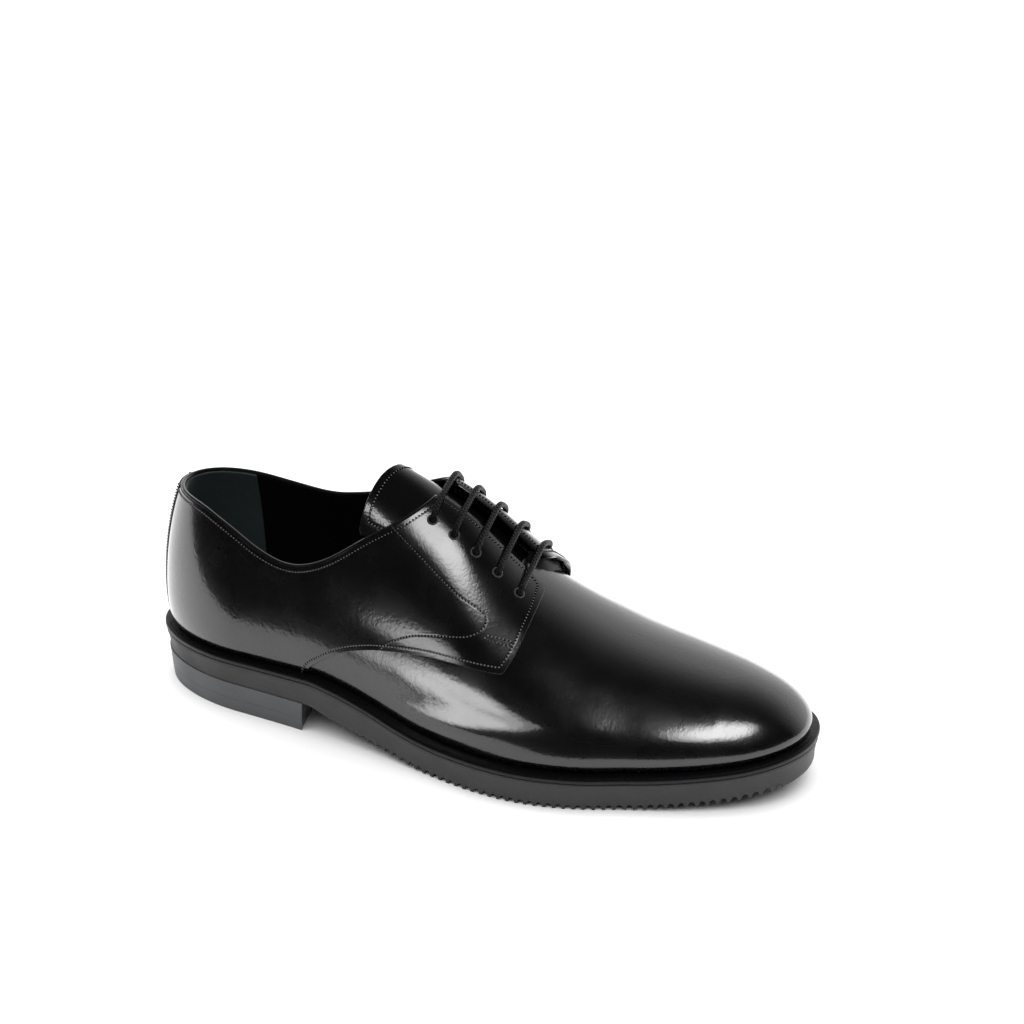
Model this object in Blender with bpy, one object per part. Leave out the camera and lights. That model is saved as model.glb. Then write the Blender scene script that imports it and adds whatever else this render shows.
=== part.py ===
# A man's black plain-toe derby lace-up, the right shoe, standing empty on its sole.
# The model is in metres with +Z up. The toe points along +X and the outer side of the foot is -Y.
# The origin is in the ground face of the heel.

from collections import namedtuple
from math import cos, pi, radians, sin

import bmesh
import bpy
import numpy as np
from mathutils import Matrix, Vector
from mathutils.bvhtree import BVHTree

MM = 0.001

# Overall sizes of the shoe
LENGTH = 297 * MM
BALL_WIDTH = 105 * MM
HEEL_LENGTH = 82 * MM
HEEL_MIDDLE = 39.5 * MM
HEEL_HEIGHT = 13.8 * MM
TOE_SPRING = 9 * MM
INSTEP_HEIGHT = 94 * MM

# Bottom of the shoe
SOLE_THICKNESS = 13.2 * MM
SOLE_TAPER = 0.8 * MM
RIB_STEP = 0.4 * MM
RIB_DROP = 0.3 * MM
RIB_HEIGHT = 1.9 * MM
WELT_THICKNESS = 2.4 * MM
WELT_LIP = 0.5 * MM
WELT_CHAMFER = 0.6 * MM
WELT_MARGIN = 4.8 * MM
WELT_WIDTH = 12 * MM
TOP_PIECE_THICKNESS = 6 * MM
HEEL_INSET = 0.9 * MM
HEEL_TAPER = 1.2 * MM
BREAST_HOLLOW = 3.5 * MM
INSOLE_THICKNESS = 2.5 * MM

# Tread: round grooves across the sole, between narrow lands
TREAD_PITCH = 4 * MM
TREAD_LAND = 1.2 * MM
TREAD_DEPTH = 2 * MM
TREAD_START = 0.30
TREAD_FULL = 0.42
TREAD_END = 0.985

# Upper
VAMP_WALL = 1.4 * MM
QUARTER_STEP = 1.1 * MM
STRIP_STEP = 0.6 * MM
STRIP_TOP_WIDTH = 15 * MM
STRIP_FOOT_WIDTH = 9 * MM
STRIP_MIDDLE = 0.02
HEM = 1 * MM
UPPER_BULGE = 3.2 * MM
HEEL_FAN = 0.135
TOE_FAN = 0.882
THROAT_GAP = 11 * MM
THROAT_SETBACK = 8 * MM
FACING_OVERHANG = 0.5 * MM
THROAT_BACK = 0.30
THROAT_FLARE = 0.47
FLARE_LENGTH = 0.04
TONGUE_WALL = 2 * MM

# Lacing
EYELET_PAIRS = 5
LACE_DIAMETER = 2.6 * MM
EYELET_PLAY = 1.3 * MM
FIRST_SETBACK = 10.5 * MM
LAST_SETBACK = 13.5 * MM
FIRST_EYELET = 0.459
LAST_EYELET = 0.588

# Gap between pieces that touch on the real shoe
FIT_GAP = 0.3 * MM

# Sides of the foot that the two collar lines are drawn on
COLLAR_OUTER_SIDE = -29 * MM
COLLAR_INNER_SIDE = 22 * MM

# Numbers of mesh steps
SIDE_STEPS = 44
RISE_STEPS = 12
COLLAR_STEPS = 62

# Outline of the sole from above, before its ends are rounded: shares of LENGTH and of BALL_WIDTH
Plan = namedtuple("Plan", "along outer inner")
PLAN = [
    Plan(0.00, -0.250, 0.326),
    Plan(0.16, -0.313, 0.279),
    Plan(0.28, -0.376, 0.260),
    Plan(0.39, -0.450, 0.240),
    Plan(0.48, -0.526, 0.262),
    Plan(0.56, -0.590, 0.316),
    Plan(0.63, -0.612, 0.376),
    Plan(0.70, -0.588, 0.408),
    Plan(0.78, -0.521, 0.390),
    Plan(0.88, -0.467, 0.343),
    Plan(1.00, -0.456, 0.324),
]
HEEL_ROUND = 0.16
TOE_ROUND = 0.22
HEEL_ROUNDNESS = 2.0
TOE_ROUNDNESS = 2.15

# Side profile of the sole, from 0 to 1 over the heel and from 1 to 2 between its breast and the toe:
# lift in shares of HEEL_HEIGHT and of TOE_SPRING, body in shares of SOLE_THICKNESS
Profile = namedtuple("Profile", "along heel_lift toe_lift body")
PROFILE = [
    Profile(0.00, 1.00, 0.00, 0.75),
    Profile(0.72, 1.00, 0.00, 0.80),
    Profile(1.01, 1.00, 0.00, 0.84),
    Profile(1.045, 0.80, 0.00, 0.995),
    Profile(1.10, 0.59, 0.00, 1.055),
    Profile(1.155, 0.40, 0.00, 1.042),
    Profile(1.21, 0.21, 0.00, 1.00),
    Profile(1.265, 0.06, 0.00, 0.98),
    Profile(1.32, 0.00, 0.00, 0.97),
    Profile(1.60, 0.00, 0.00, 0.95),
    Profile(1.695, 0.00, 0.07, 0.94),
    Profile(1.79, 0.00, 0.24, 0.92),
    Profile(1.875, 0.00, 0.46, 0.90),
    Profile(2.00, 0.00, 1.00, 0.86),
]

# Sections of the last: ridge rise in shares of INSTEP_HEIGHT, ridge place in shares of BALL_WIDTH,
# bulge in shares of UPPER_BULGE, and how square each section is
Last = namedtuple("Last", "along rise ridge bulge square")
LAST = [
    Last(0.00, 1.02, 0.010, 0.95, 2.0),
    Last(0.13, 1.02, -0.010, 0.90, 2.0),
    Last(0.22, 1.07, -0.035, 0.70, 2.0),
    Last(0.30, 1.08, -0.050, 0.60, 2.0),
    Last(0.38, 1.03, -0.062, 0.55, 2.0),
    Last(0.44, 0.995, -0.070, 0.55, 2.0),
    Last(0.50, 0.915, -0.076, 0.60, 2.0),
    Last(0.55, 0.790, -0.080, 0.65, 2.05),
    Last(0.60, 0.658, -0.080, 0.70, 2.1),
    Last(0.65, 0.555, -0.075, 0.75, 2.15),
    Last(0.70, 0.472, -0.068, 0.80, 2.2),
    Last(0.75, 0.405, -0.062, 0.80, 2.25),
    Last(0.80, 0.354, -0.060, 0.80, 2.3),
    Last(0.86, 0.299, -0.061, 0.80, 2.3),
    Last(0.92, 0.244, -0.063, 0.80, 2.3),
    Last(0.96, 0.203, -0.065, 0.80, 2.3),
    Last(1.00, 0.150, -0.066, 0.80, 2.3),
]

# Collar line from the side: heights above the edge of the welt, in shares of INSTEP_HEIGHT
Collar = namedtuple("Collar", "along outer inner")
COLLAR = [
    Collar(-0.05, 0.690, 0.700),
    Collar(0.05, 0.690, 0.706),
    Collar(0.10, 0.684, 0.694),
    Collar(0.15, 0.626, 0.676),
    Collar(0.20, 0.552, 0.656),
    Collar(0.25, 0.521, 0.642),
    Collar(0.29, 0.552, 0.662),
    Collar(0.33, 0.640, 0.722),
    Collar(0.37, 0.752, 0.805),
    Collar(0.41, 0.855, 0.892),
    Collar(0.45, 0.965, 0.980),
    Collar(0.52, 1.160, 1.170),
]

# Lower edge and front edge of the quarters from the side, in shares of LENGTH and of INSTEP_HEIGHT
Edge = namedtuple("Edge", "along height")
QUARTER_EDGE = [
    Edge(0.272, -0.12),
    Edge(0.281, 0.020),
    Edge(0.310, 0.110),
    Edge(0.345, 0.200),
    Edge(0.387, 0.278),
    Edge(0.425, 0.335),
    Edge(0.476, 0.390),
    Edge(0.530, 0.402),
    Edge(0.574, 0.396),
    Edge(0.594, 0.393),
    Edge(0.603, 0.450),
    Edge(0.610, 0.520),
    Edge(0.614, 0.600),
    Edge(0.610, 0.650),
    Edge(0.604, 0.700),
    Edge(0.600, 0.900),
]

# Outline of the tongue from above, in shares of LENGTH and of BALL_WIDTH
Spot = namedtuple("Spot", "along across")
TONGUE_EDGE = [
    Spot(0.357, -0.295),
    Spot(0.362, -0.250),
    Spot(0.372, -0.185),
    Spot(0.383, -0.110),
    Spot(0.391, -0.040),
    Spot(0.393, 0.020),
    Spot(0.392, 0.085),
    Spot(0.385, 0.150),
    Spot(0.378, 0.190),
    Spot(0.410, 0.205),
    Spot(0.470, 0.130),
    Spot(0.610, 0.040),
    Spot(0.610, -0.200),
    Spot(0.470, -0.275),
    Spot(0.400, -0.305),
]


def smooth(table, column, along, flowing=True):
    """Read one column of a table between its rows: flowing on, or flat where the rows are."""
    knots = np.array([row.along for row in table])
    values = np.array([getattr(row, column) for row in table])
    steps = np.diff(knots)
    slopes = np.diff(values) / steps
    tangents = np.concatenate([[slopes[0]], np.zeros(len(knots) - 2), [slopes[-1]]])
    if flowing:
        tangents[1:-1] = (slopes[:-1] * steps[1:] + slopes[1:] * steps[:-1]) / (steps[:-1] + steps[1:])
    else:
        same_way = slopes[:-1] * slopes[1:] > 0
        before = slopes[:-1][same_way]
        after = slopes[1:][same_way]
        tangents[1:-1][same_way] = 2 * before * after / (before + after)
    along = np.clip(np.asarray(along, float), knots[0], knots[-1])
    index = np.clip(np.searchsorted(knots, along) - 1, 0, len(steps) - 1)
    width = steps[index]
    t = (along - knots[index]) / width
    start = values[index] * (1 + 2 * t) * (1 - t) ** 2 + tangents[index] * width * t * (1 - t) ** 2
    end = values[index + 1] * t * t * (3 - 2 * t) - tangents[index + 1] * width * t * t * (1 - t)
    return start + end


def x_at(along):
    """Place along the shoe, from its share of the length."""
    return along * LENGTH - HEEL_MIDDLE


def share_at(x):
    """Share of the length at a place along the shoe."""
    return (x + HEEL_MIDDLE) / LENGTH


def end_rounding(along):
    """Narrowing of the outline towards the heel and the toe."""
    back = np.clip(1 - along / HEEL_ROUND, 0, 1)
    front = np.clip(1 - (1 - along) / TOE_ROUND, 0, 1)
    back = (1 - back ** HEEL_ROUNDNESS) ** (1 / HEEL_ROUNDNESS)
    return back * (1 - front ** TOE_ROUNDNESS) ** (1 / TOE_ROUNDNESS)


def side_shares():
    """Shares of the length that each side of an outline is drawn through, closer at the ends."""
    return (1 - np.cos(np.linspace(0, pi, SIDE_STEPS + 1))) / 2


def outline(inset):
    """Closed outline from above, moved inwards: outer side from heel to toe, inner side back."""
    along = side_shares()
    outer_edge = smooth(PLAN, "outer", along) * BALL_WIDTH
    inner_edge = smooth(PLAN, "inner", along) * BALL_WIDTH
    middle = (outer_edge + inner_edge) / 2
    half = (inner_edge - outer_edge) / 2 * end_rounding(along)
    outer = np.stack([x_at(along), middle - half], axis=1)
    inner = np.stack([x_at(along), middle + half], axis=1)
    loop = np.concatenate([outer, inner[-2:0:-1]])
    ahead = np.roll(loop, -1, axis=0) - np.roll(loop, 1, axis=0)
    ahead /= np.linalg.norm(ahead, axis=1)[:, None]
    inwards = np.stack([-ahead[:, 1], ahead[:, 0]], axis=1)
    return loop + inset * inwards


def stretch_at(x):
    """Place along the sole's profile: 0 to 1 over the heel, 1 to 2 from its breast to the toe."""
    return np.interp(x, [x_at(0), x_at(0) + HEEL_LENGTH, x_at(1)], [0, 1, 2])


def underside(x):
    """Height of the underside of the sole, as if it had no grooves."""
    along = stretch_at(x)
    heel = smooth(PROFILE, "heel_lift", along, False) * HEEL_HEIGHT
    return heel + smooth(PROFILE, "toe_lift", along, False) * TOE_SPRING


def sole_top(x):
    """Height of the top of the sole."""
    return underside(x) + smooth(PROFILE, "body", stretch_at(x), False) * SOLE_THICKNESS


def welt_top(x):
    """Height of the top of the welt."""
    return sole_top(x) + FIT_GAP + WELT_THICKNESS


def feather(x):
    """Height of the lower edge of the upper."""
    return welt_top(x) + FIT_GAP


def solid(name, vertices, faces):
    """A mesh object with consistent normals that point out."""
    mesh = bpy.data.meshes.new(name)
    mesh.from_pydata([tuple(v) for v in vertices], [], faces)
    body = bmesh.new()
    body.from_mesh(mesh)
    bmesh.ops.recalc_face_normals(body, faces=body.faces)
    body.to_mesh(mesh)
    body.free()
    shape = bpy.data.objects.new(name, mesh)
    bpy.context.collection.objects.link(shape)
    return shape


def guide(shape):
    """Mark an object as a tool that only cuts or joins another."""
    shape.hide_render = True
    shape.display_type = "WIRE"
    return shape


def combine(shape, tool, operation):
    """Cut, join or intersect a shape with a tool."""
    step = shape.modifiers.new(tool.name, "BOOLEAN")
    step.operation = operation
    step.object = guide(tool)
    step.solver = "EXACT"


def prism(name, corners, axis, low, high):
    """A prism over a polygon of two coordinates, along the axis that the polygon leaves out."""
    def place(corner, level):
        point = list(corner)
        point.insert(axis, level)
        return point
    count = len(corners)
    vertices = [place(c, low) for c in corners] + [place(c, high) for c in corners]
    sides = [(i, (i + 1) % count, (i + 1) % count + count, i + count) for i in range(count)]
    faces = sides + [tuple(range(count)), tuple(range(count, 2 * count))]
    return solid(name, vertices, faces)


def slab(name, low_inset, high_inset, low, high):
    """A plate inside the outline, with an underside and a top whose heights follow the place along it."""
    below = outline(low_inset)
    above = outline(high_inset)
    count = len(below)
    vertices = [(x, y, low(x)) for x, y in below] + [(x, y, high(x)) for x, y in above]
    faces = [(i, (i + 1) % count, (i + 1) % count + count, i + count) for i in range(count)]
    for level in (0, count):
        faces.append(tuple(level + k for k in (0, 1, count - 1)))
        faces.append(tuple(level + k for k in (SIDE_STEPS - 1, SIDE_STEPS, SIDE_STEPS + 1)))
        for i in range(1, SIDE_STEPS - 1):
            faces.append((level + i, level + i + 1, level + count - i - 1, level + count - i))
    return solid(name, vertices, faces)


def tread_line():
    """Underside of the sole from the side, heel to toe, with its round grooves."""
    start = x_at(TREAD_START)
    grooves = int((x_at(TREAD_END) - start) / TREAD_PITCH)
    plain = np.linspace(x_at(0), start, 24)
    line = [(x, float(underside(x))) for x in plain[:-1]]
    groove = TREAD_PITCH - TREAD_LAND
    for number in range(grooves):
        edge = start + number * TREAD_PITCH
        fade = np.clip((share_at(edge) - TREAD_START) / (TREAD_FULL - TREAD_START), 0.15, 1)
        line.append((edge, float(underside(edge))))
        for step in range(4):
            angle = pi * step / 3
            x = edge + TREAD_LAND + groove * (1 - cos(angle)) / 2
            line.append((x, float(underside(x)) + TREAD_DEPTH * fade * sin(angle)))
    line.append((x_at(1), float(underside(x_at(1)))))
    return line


def make_outsole():
    """Outsole: the grooved side profile, cut to the outline, with a rib under its top edge."""
    stations = x_at(side_shares())[::-1]
    top = [(x, float(sole_top(x))) for x in stations]
    low = -TREAD_PITCH
    high = 2 * (HEEL_HEIGHT + TOE_SPRING + SOLE_THICKNESS)
    side = BALL_WIDTH
    sole = prism("outsole", tread_line() + top, 1, -side, side)
    body = slab("outsole_outline", RIB_STEP + SOLE_TAPER, RIB_STEP, lambda x: low, lambda x: high)
    combine(sole, body, "INTERSECT")
    upper_edge = [(x, z - RIB_DROP) for x, z in top]
    lower_edge = [(x, z - RIB_DROP - RIB_HEIGHT) for x, z in top[::-1]]
    rib = prism("outsole_rib", upper_edge + lower_edge, 1, -side, side)
    combine(rib, slab("rib_outline", 0, 0, lambda x: low, lambda x: high), "INTERSECT")
    combine(sole, rib, "UNION")
    return sole


def make_welt():
    """Welt: a flat ring on the sole with a chamfered lip that stands proud of it."""
    rings = [
        (-WELT_LIP, lambda x: sole_top(x) + FIT_GAP),
        (-WELT_LIP, lambda x: welt_top(x) - WELT_CHAMFER),
        (WELT_CHAMFER - WELT_LIP, welt_top),
        (WELT_WIDTH, welt_top),
        (WELT_WIDTH, lambda x: sole_top(x) + FIT_GAP),
    ]
    vertices = []
    for inset, height in rings:
        vertices += [(x, y, height(x)) for x, y in outline(inset)]
    count = len(vertices) // len(rings)
    faces = []
    for ring in range(len(rings)):
        here = ring * count
        there = (ring + 1) % len(rings) * count
        for i in range(count):
            j = (i + 1) % count
            faces.append((here + i, here + j, there + j, there + i))
    return solid("welt", vertices, faces)


def heel_outline(inset):
    """Outline of the heel: the back of the sole's outline, closed by a hollow breast."""
    breast = x_at(HEEL_LENGTH / LENGTH) - inset
    loop = outline(inset)
    inner = loop[SIDE_STEPS:][::-1]
    outer = loop[:SIDE_STEPS + 1]
    outer_y = np.interp(breast, outer[:, 0], outer[:, 1])
    inner_y = np.interp(breast, inner[:, 0], inner[:, 1])
    back_outer = [tuple(p) for p in outer if p[0] < breast - FIT_GAP]
    back_inner = [tuple(p) for p in inner if p[0] < breast - FIT_GAP]
    front = []
    for across in np.linspace(0, 1, 9):
        hollow = BREAST_HOLLOW * (1 - (2 * across - 1) ** 2)
        front.append((breast - hollow, outer_y + across * (inner_y - outer_y)))
    return back_outer + front + back_inner[::-1]


def heel_piece(name, low_inset, high_inset, low, high):
    """A piece of the heel between two levels, tapering towards the ground."""
    below = heel_outline(low_inset)
    above = heel_outline(high_inset)
    count = len(below)
    vertices = [(x, y, low) for x, y in below] + [(x, y, high) for x, y in above]
    faces = [(i, (i + 1) % count, (i + 1) % count + count, i + count) for i in range(count)]
    faces += [tuple(range(count)), tuple(range(count, 2 * count))]
    return solid(name, vertices, faces)


def make_heel():
    """Heel block under the sole and the top piece that meets the ground."""
    split = HEEL_TAPER * TOP_PIECE_THICKNESS / HEEL_HEIGHT
    ground_inset = HEEL_INSET + HEEL_TAPER
    block = heel_piece("heel_block", ground_inset - split, HEEL_INSET,
                       TOP_PIECE_THICKNESS + FIT_GAP, HEEL_HEIGHT - FIT_GAP)
    top_piece = heel_piece("heel_top_piece", ground_inset, ground_inset - split, 0, TOP_PIECE_THICKNESS)
    return block, top_piece


def make_insole():
    """Insole: a plate inside the upper, on the welt."""
    inset = WELT_MARGIN + VAMP_WALL + 2 * FIT_GAP
    return slab("insole", inset, inset, feather, lambda x: feather(x) + INSOLE_THICKNESS)


def ridge_y(x):
    """Place across of the ridge of the last."""
    return smooth(LAST, "ridge", share_at(x)) * BALL_WIDTH


def ridge_z(x):
    """Height of the ridge of the last."""
    return feather(x) + smooth(LAST, "rise", share_at(x)) * INSTEP_HEIGHT


def last_grid():
    """Points of the last: one column for each point of the outline, rising from welt to ridge."""
    foot = outline(WELT_MARGIN)
    ends = outline(0)
    ahead = np.roll(foot, -1, axis=0) - np.roll(foot, 1, axis=0)
    ahead /= np.linalg.norm(ahead, axis=1)[:, None]
    outwards = np.stack([ahead[:, 1], -ahead[:, 0]], axis=1)
    fan = np.clip(ends[:, 0], x_at(HEEL_FAN), x_at(TOE_FAN))
    ridge = np.stack([fan, ridge_y(fan)], axis=1)
    along = share_at(ends[:, 0])
    bulge = smooth(LAST, "bulge", along) * UPPER_BULGE
    power = 2 / smooth(LAST, "square", along)
    rows = []
    for step in range(RISE_STEPS + 1):
        turn = step / RISE_STEPS
        reach = np.maximum(cos(turn * pi / 2), 0) ** power
        rise = sin(turn * pi / 2) ** power
        swell = bulge * sin(pi * turn ** 0.45)
        flat = ridge + (foot - ridge) * reach[:, None] + outwards * swell[:, None]
        base = feather(foot[:, 0])
        rows.append(np.column_stack([flat, base + (ridge_z(flat[:, 0]) - base) * rise]))
    return rows


def last_surface():
    """The last as one smooth open mesh, whose normals give the walls their thickness."""
    rows = last_grid()
    count = len(rows[0])
    body = bmesh.new()
    grid = [[body.verts.new(p) for p in row] for row in rows[:-1]]
    top = []
    for i in range(count):
        twin = (count - i) % count
        x = rows[-1][i][0]
        mates = [j for j in range(i) if j == twin or abs(rows[-1][j][0] - x) < FIT_GAP / 10]
        top.append(top[mates[0]] if mates else body.verts.new(rows[-1][i]))
    grid.append(top)
    for low, high in zip(grid[:-1], grid[1:]):
        for i in range(count):
            j = (i + 1) % count
            corners = [low[i], low[j], high[j], high[i]]
            if high[j] == high[i]:
                corners.pop()
            body.faces.new(corners)
    body.verts.index_update()
    body.normal_update()
    body.faces.ensure_lookup_table()
    if body.faces[count // 4].normal.y > 0:
        bmesh.ops.reverse_faces(body, faces=body.faces)
        body.normal_update()
    return body


def shell(name, last, outside, inside, hem):
    """A wall between two offsets from the last, open underneath, with a hem below the feather line."""
    points = [v.co.copy() for v in last.verts]
    normals = [v.normal.copy() for v in last.verts]
    edge = {v.index for v in last.verts if v.is_boundary}
    vertices = []
    for offset in (outside, inside):
        for index, (point, normal) in enumerate(zip(points, normals)):
            moved = point + normal * offset
            if index in edge:
                moved.z = point.z - hem
            vertices.append(moved)
    count = len(points)
    faces = [[v.index for v in f.verts] for f in last.faces]
    faces += [[v.index + count for v in reversed(f.verts)] for f in last.faces]
    for rim in last.edges:
        if rim.is_boundary:
            a, b = (v.index for v in rim.verts)
            faces.append([a, b, b + count, a + count])
    return solid(name, vertices, faces)


def side_line(table):
    """Points of a line drawn on the side of the upper."""
    line = []
    for row in table:
        x = x_at(row.along)
        line.append((x, float(feather(x)) + row.height * INSTEP_HEIGHT))
    return line


def quarter_block():
    """Everything above and behind the edge of the quarters."""
    line = side_line(QUARTER_EDGE)
    top = float(feather(0)) + 2 * INSTEP_HEIGHT
    back = x_at(-0.1)
    corners = [(back, line[0][1])] + line + [(line[-1][0], top), (back, top)]
    return prism("quarter_outline", corners, 1, -BALL_WIDTH, BALL_WIDTH)


def collar_block():
    """Everything above the collar line, which is lower on the outer side of the foot."""
    top = float(feather(0)) + 3 * INSTEP_HEIGHT
    along = np.linspace(COLLAR[0].along, COLLAR[-1].along, COLLAR_STEPS)
    x = x_at(along)
    outer = feather(x) + smooth(COLLAR, "outer", along) * INSTEP_HEIGHT
    inner = feather(x) + smooth(COLLAR, "inner", along) * INSTEP_HEIGHT
    tilt = (inner - outer) / (COLLAR_INNER_SIDE - COLLAR_OUTER_SIDE)
    lines = []
    for side in (-BALL_WIDTH, COLLAR_OUTER_SIDE, 0, COLLAR_INNER_SIDE, BALL_WIDTH):
        rise = outer + tilt * (side - COLLAR_OUTER_SIDE)
        line = [(px, side, pz) for px, pz in zip(x, rise)]
        lines.append(line + [(x[-1], side, top), (x[0], side, top)])
    count = len(lines[0])
    faces = []
    for strip in range(len(lines) - 1):
        here = strip * count
        for i in range(count):
            j = (i + 1) % count
            faces.append((here + i, here + j, here + j + count, here + i + count))
    last_line = (len(lines) - 1) * count
    faces += [tuple(range(count)), tuple(range(last_line, last_line + count))]
    return solid("collar_opening", sum(lines, []), faces)


def foot_block():
    """Everything below the feather line, where the upper meets the welt."""
    x = x_at(np.linspace(-0.05, 1.05, 2 * SIDE_STEPS))
    line = [(px, float(feather(px))) for px in x]
    low = -INSTEP_HEIGHT
    return prism("foot_cut", [(x[0], low)] + line + [(x[-1], low)], 1, -BALL_WIDTH, BALL_WIDTH)


def throat_block(name, gap, front):
    """The slot between the facings, around the ridge, up to a place along the shoe."""
    x = np.linspace(x_at(THROAT_BACK), front, 16)
    share = (THROAT_FLARE - share_at(x)) / FLARE_LENGTH
    half = gap / 2 + np.clip(share, 0, 1) ** 2 * gap / 3
    outer = list(zip(x, ridge_y(x) - half))
    inner = list(zip(x, ridge_y(x) + half))
    low = float(feather(front)) + INSTEP_HEIGHT / 3
    return prism(name, outer + inner[::-1], 2, low, low + 2 * INSTEP_HEIGHT)


def strip_block():
    """Sides of the narrow strip that covers the seam at the back of the heel."""
    foot = float(feather(x_at(0)))
    top = foot + INSTEP_HEIGHT
    middle = STRIP_MIDDLE * BALL_WIDTH
    corners = [
        (middle - STRIP_FOOT_WIDTH / 2, foot - WELT_THICKNESS),
        (middle + STRIP_FOOT_WIDTH / 2, foot - WELT_THICKNESS),
        (middle + STRIP_TOP_WIDTH / 2, top),
        (middle - STRIP_TOP_WIDTH / 2, top),
    ]
    return prism("strip_outline", corners, 0, x_at(-0.1), x_at(0.1))


def on_last(tree, x, y, offset):
    """The point over a place seen from above, at an offset from the last, and the normal there."""
    point, normal, _, _ = tree.ray_cast(Vector((x, y, 1)), Vector((0, 0, -1)))
    return point + normal * offset, normal


def eyelet_places():
    """Places of the eyelets from above, an outer and an inner one for each pair."""
    pairs = []
    for share in np.linspace(0, 1, EYELET_PAIRS):
        x = x_at(FIRST_EYELET + share * (LAST_EYELET - FIRST_EYELET))
        middle = float(ridge_y(x))
        reach = THROAT_GAP / 2 + FIRST_SETBACK + share * (LAST_SETBACK - FIRST_SETBACK)
        pairs.append(((x, middle - reach), (x, middle + reach)))
    return pairs


def make_eyelet_pins(tree):
    """Round pins through the facings, one for each eyelet."""
    body = bmesh.new()
    depth = 4 * (VAMP_WALL + QUARTER_STEP)
    radius = (LACE_DIAMETER + EYELET_PLAY) / 2
    for pair in eyelet_places():
        for x, y in pair:
            point, normal = on_last(tree, x, y, 0)
            turn = Vector((0, 0, 1)).rotation_difference(normal).to_matrix().to_4x4()
            bmesh.ops.create_cone(body, cap_ends=True, segments=12, radius1=radius, radius2=radius,
                                  depth=depth, matrix=Matrix.Translation(point) @ turn)
    mesh = bpy.data.meshes.new("eyelet_pins")
    body.to_mesh(mesh)
    body.free()
    pins = bpy.data.objects.new("eyelet_pins", mesh)
    bpy.context.collection.objects.link(pins)
    return pins


def make_upper(last, tree):
    """Upper: vamp wall, quarters laid over it, back strip, then collar, throat and eyelets cut out."""
    front = x_at(QUARTER_EDGE[-1].along)
    upper = shell("upper", last, 0, -VAMP_WALL, HEM)
    under_gap = THROAT_GAP + 2 * FACING_OVERHANG
    combine(upper, throat_block("vamp_throat", under_gap, front - THROAT_SETBACK), "DIFFERENCE")
    quarters = shell("quarters", last, QUARTER_STEP, -VAMP_WALL / 2, 1.5 * HEM)
    combine(quarters, quarter_block(), "INTERSECT")
    over_front = front + 4 * THROAT_SETBACK
    combine(quarters, throat_block("facing_throat", THROAT_GAP, over_front), "DIFFERENCE")
    combine(upper, quarters, "UNION")
    strip = shell("back_strip", last, QUARTER_STEP + STRIP_STEP, -VAMP_WALL / 4, 2 * HEM)
    combine(strip, strip_block(), "INTERSECT")
    combine(upper, strip, "UNION")
    combine(upper, foot_block(), "DIFFERENCE")
    combine(upper, collar_block(), "DIFFERENCE")
    combine(upper, make_eyelet_pins(tree), "DIFFERENCE")
    return upper


def make_tongue(last):
    """Tongue: a sheet under the facings, from under the vamp to above the collar."""
    outside = -(VAMP_WALL + FIT_GAP)
    tongue = shell("tongue", last, outside, outside - TONGUE_WALL, 0)
    corners = [(x_at(spot.along), spot.across * BALL_WIDTH) for spot in TONGUE_EDGE]
    low = float(feather(corners[-3][0])) + INSTEP_HEIGHT / 4
    combine(tongue, prism("tongue_outline", corners, 2, low, low + 2 * INSTEP_HEIGHT), "INTERSECT")
    return tongue


def make_lace_bars(tree):
    """Straight lace bars, each from one eyelet over the throat into the other."""
    bars = []
    rest = QUARTER_STEP + FIT_GAP + LACE_DIAMETER / 2
    sunk = QUARTER_STEP - VAMP_WALL
    for number, (outer, inner) in enumerate(eyelet_places(), 1):
        route = []
        for share, lift in bar_steps():
            x = outer[0] + share * (inner[0] - outer[0])
            y = outer[1] + share * (inner[1] - outer[1])
            route.append(on_last(tree, x, y, sunk + lift * (rest - sunk))[0])
        bars.append(tube("lace_bar_%d" % number, route, LACE_DIAMETER))
    return bars


def bar_steps():
    """Shares across a lace bar, and how far it has risen out of its eyelet there."""
    start = [(0, 0), (0.002, 0.5), (0.006, 0.9), (0.02, 1.12), (0.06, 1.08)]
    middle = [(share, 1.0) for share in np.linspace(0.16, 0.84, 7)]
    return start + middle + [(1 - share, lift) for share, lift in start[::-1]]


def tube(name, route, diameter):
    """A round cord along a route."""
    curve = bpy.data.curves.new(name, "CURVE")
    curve.dimensions = "3D"
    curve.bevel_depth = diameter / 2
    curve.bevel_resolution = 2
    curve.use_fill_caps = True
    spline = curve.splines.new("POLY")
    spline.points.add(len(route) - 1)
    for point, place in zip(spline.points, route):
        point.co = (*place, 1)
    cord = bpy.data.objects.new(name, curve)
    bpy.context.collection.objects.link(cord)
    return cord


def material(name, colour, roughness):
    """A plain finish."""
    finish = bpy.data.materials.new(name)
    finish.use_nodes = True
    shader = finish.node_tree.nodes["Principled BSDF"]
    shader.inputs["Base Color"].default_value = (*colour, 1)
    shader.inputs["Roughness"].default_value = roughness
    shader.inputs["Metallic"].default_value = 0
    return finish


def paint(shape, finish):
    """Give a piece its finish and smooth shading."""
    shape.data.materials.clear()
    shape.data.materials.append(finish)
    if shape.type == "MESH":
        shape.data.shade_smooth()
        shape.data.set_sharp_from_angle(angle=radians(30))


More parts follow.
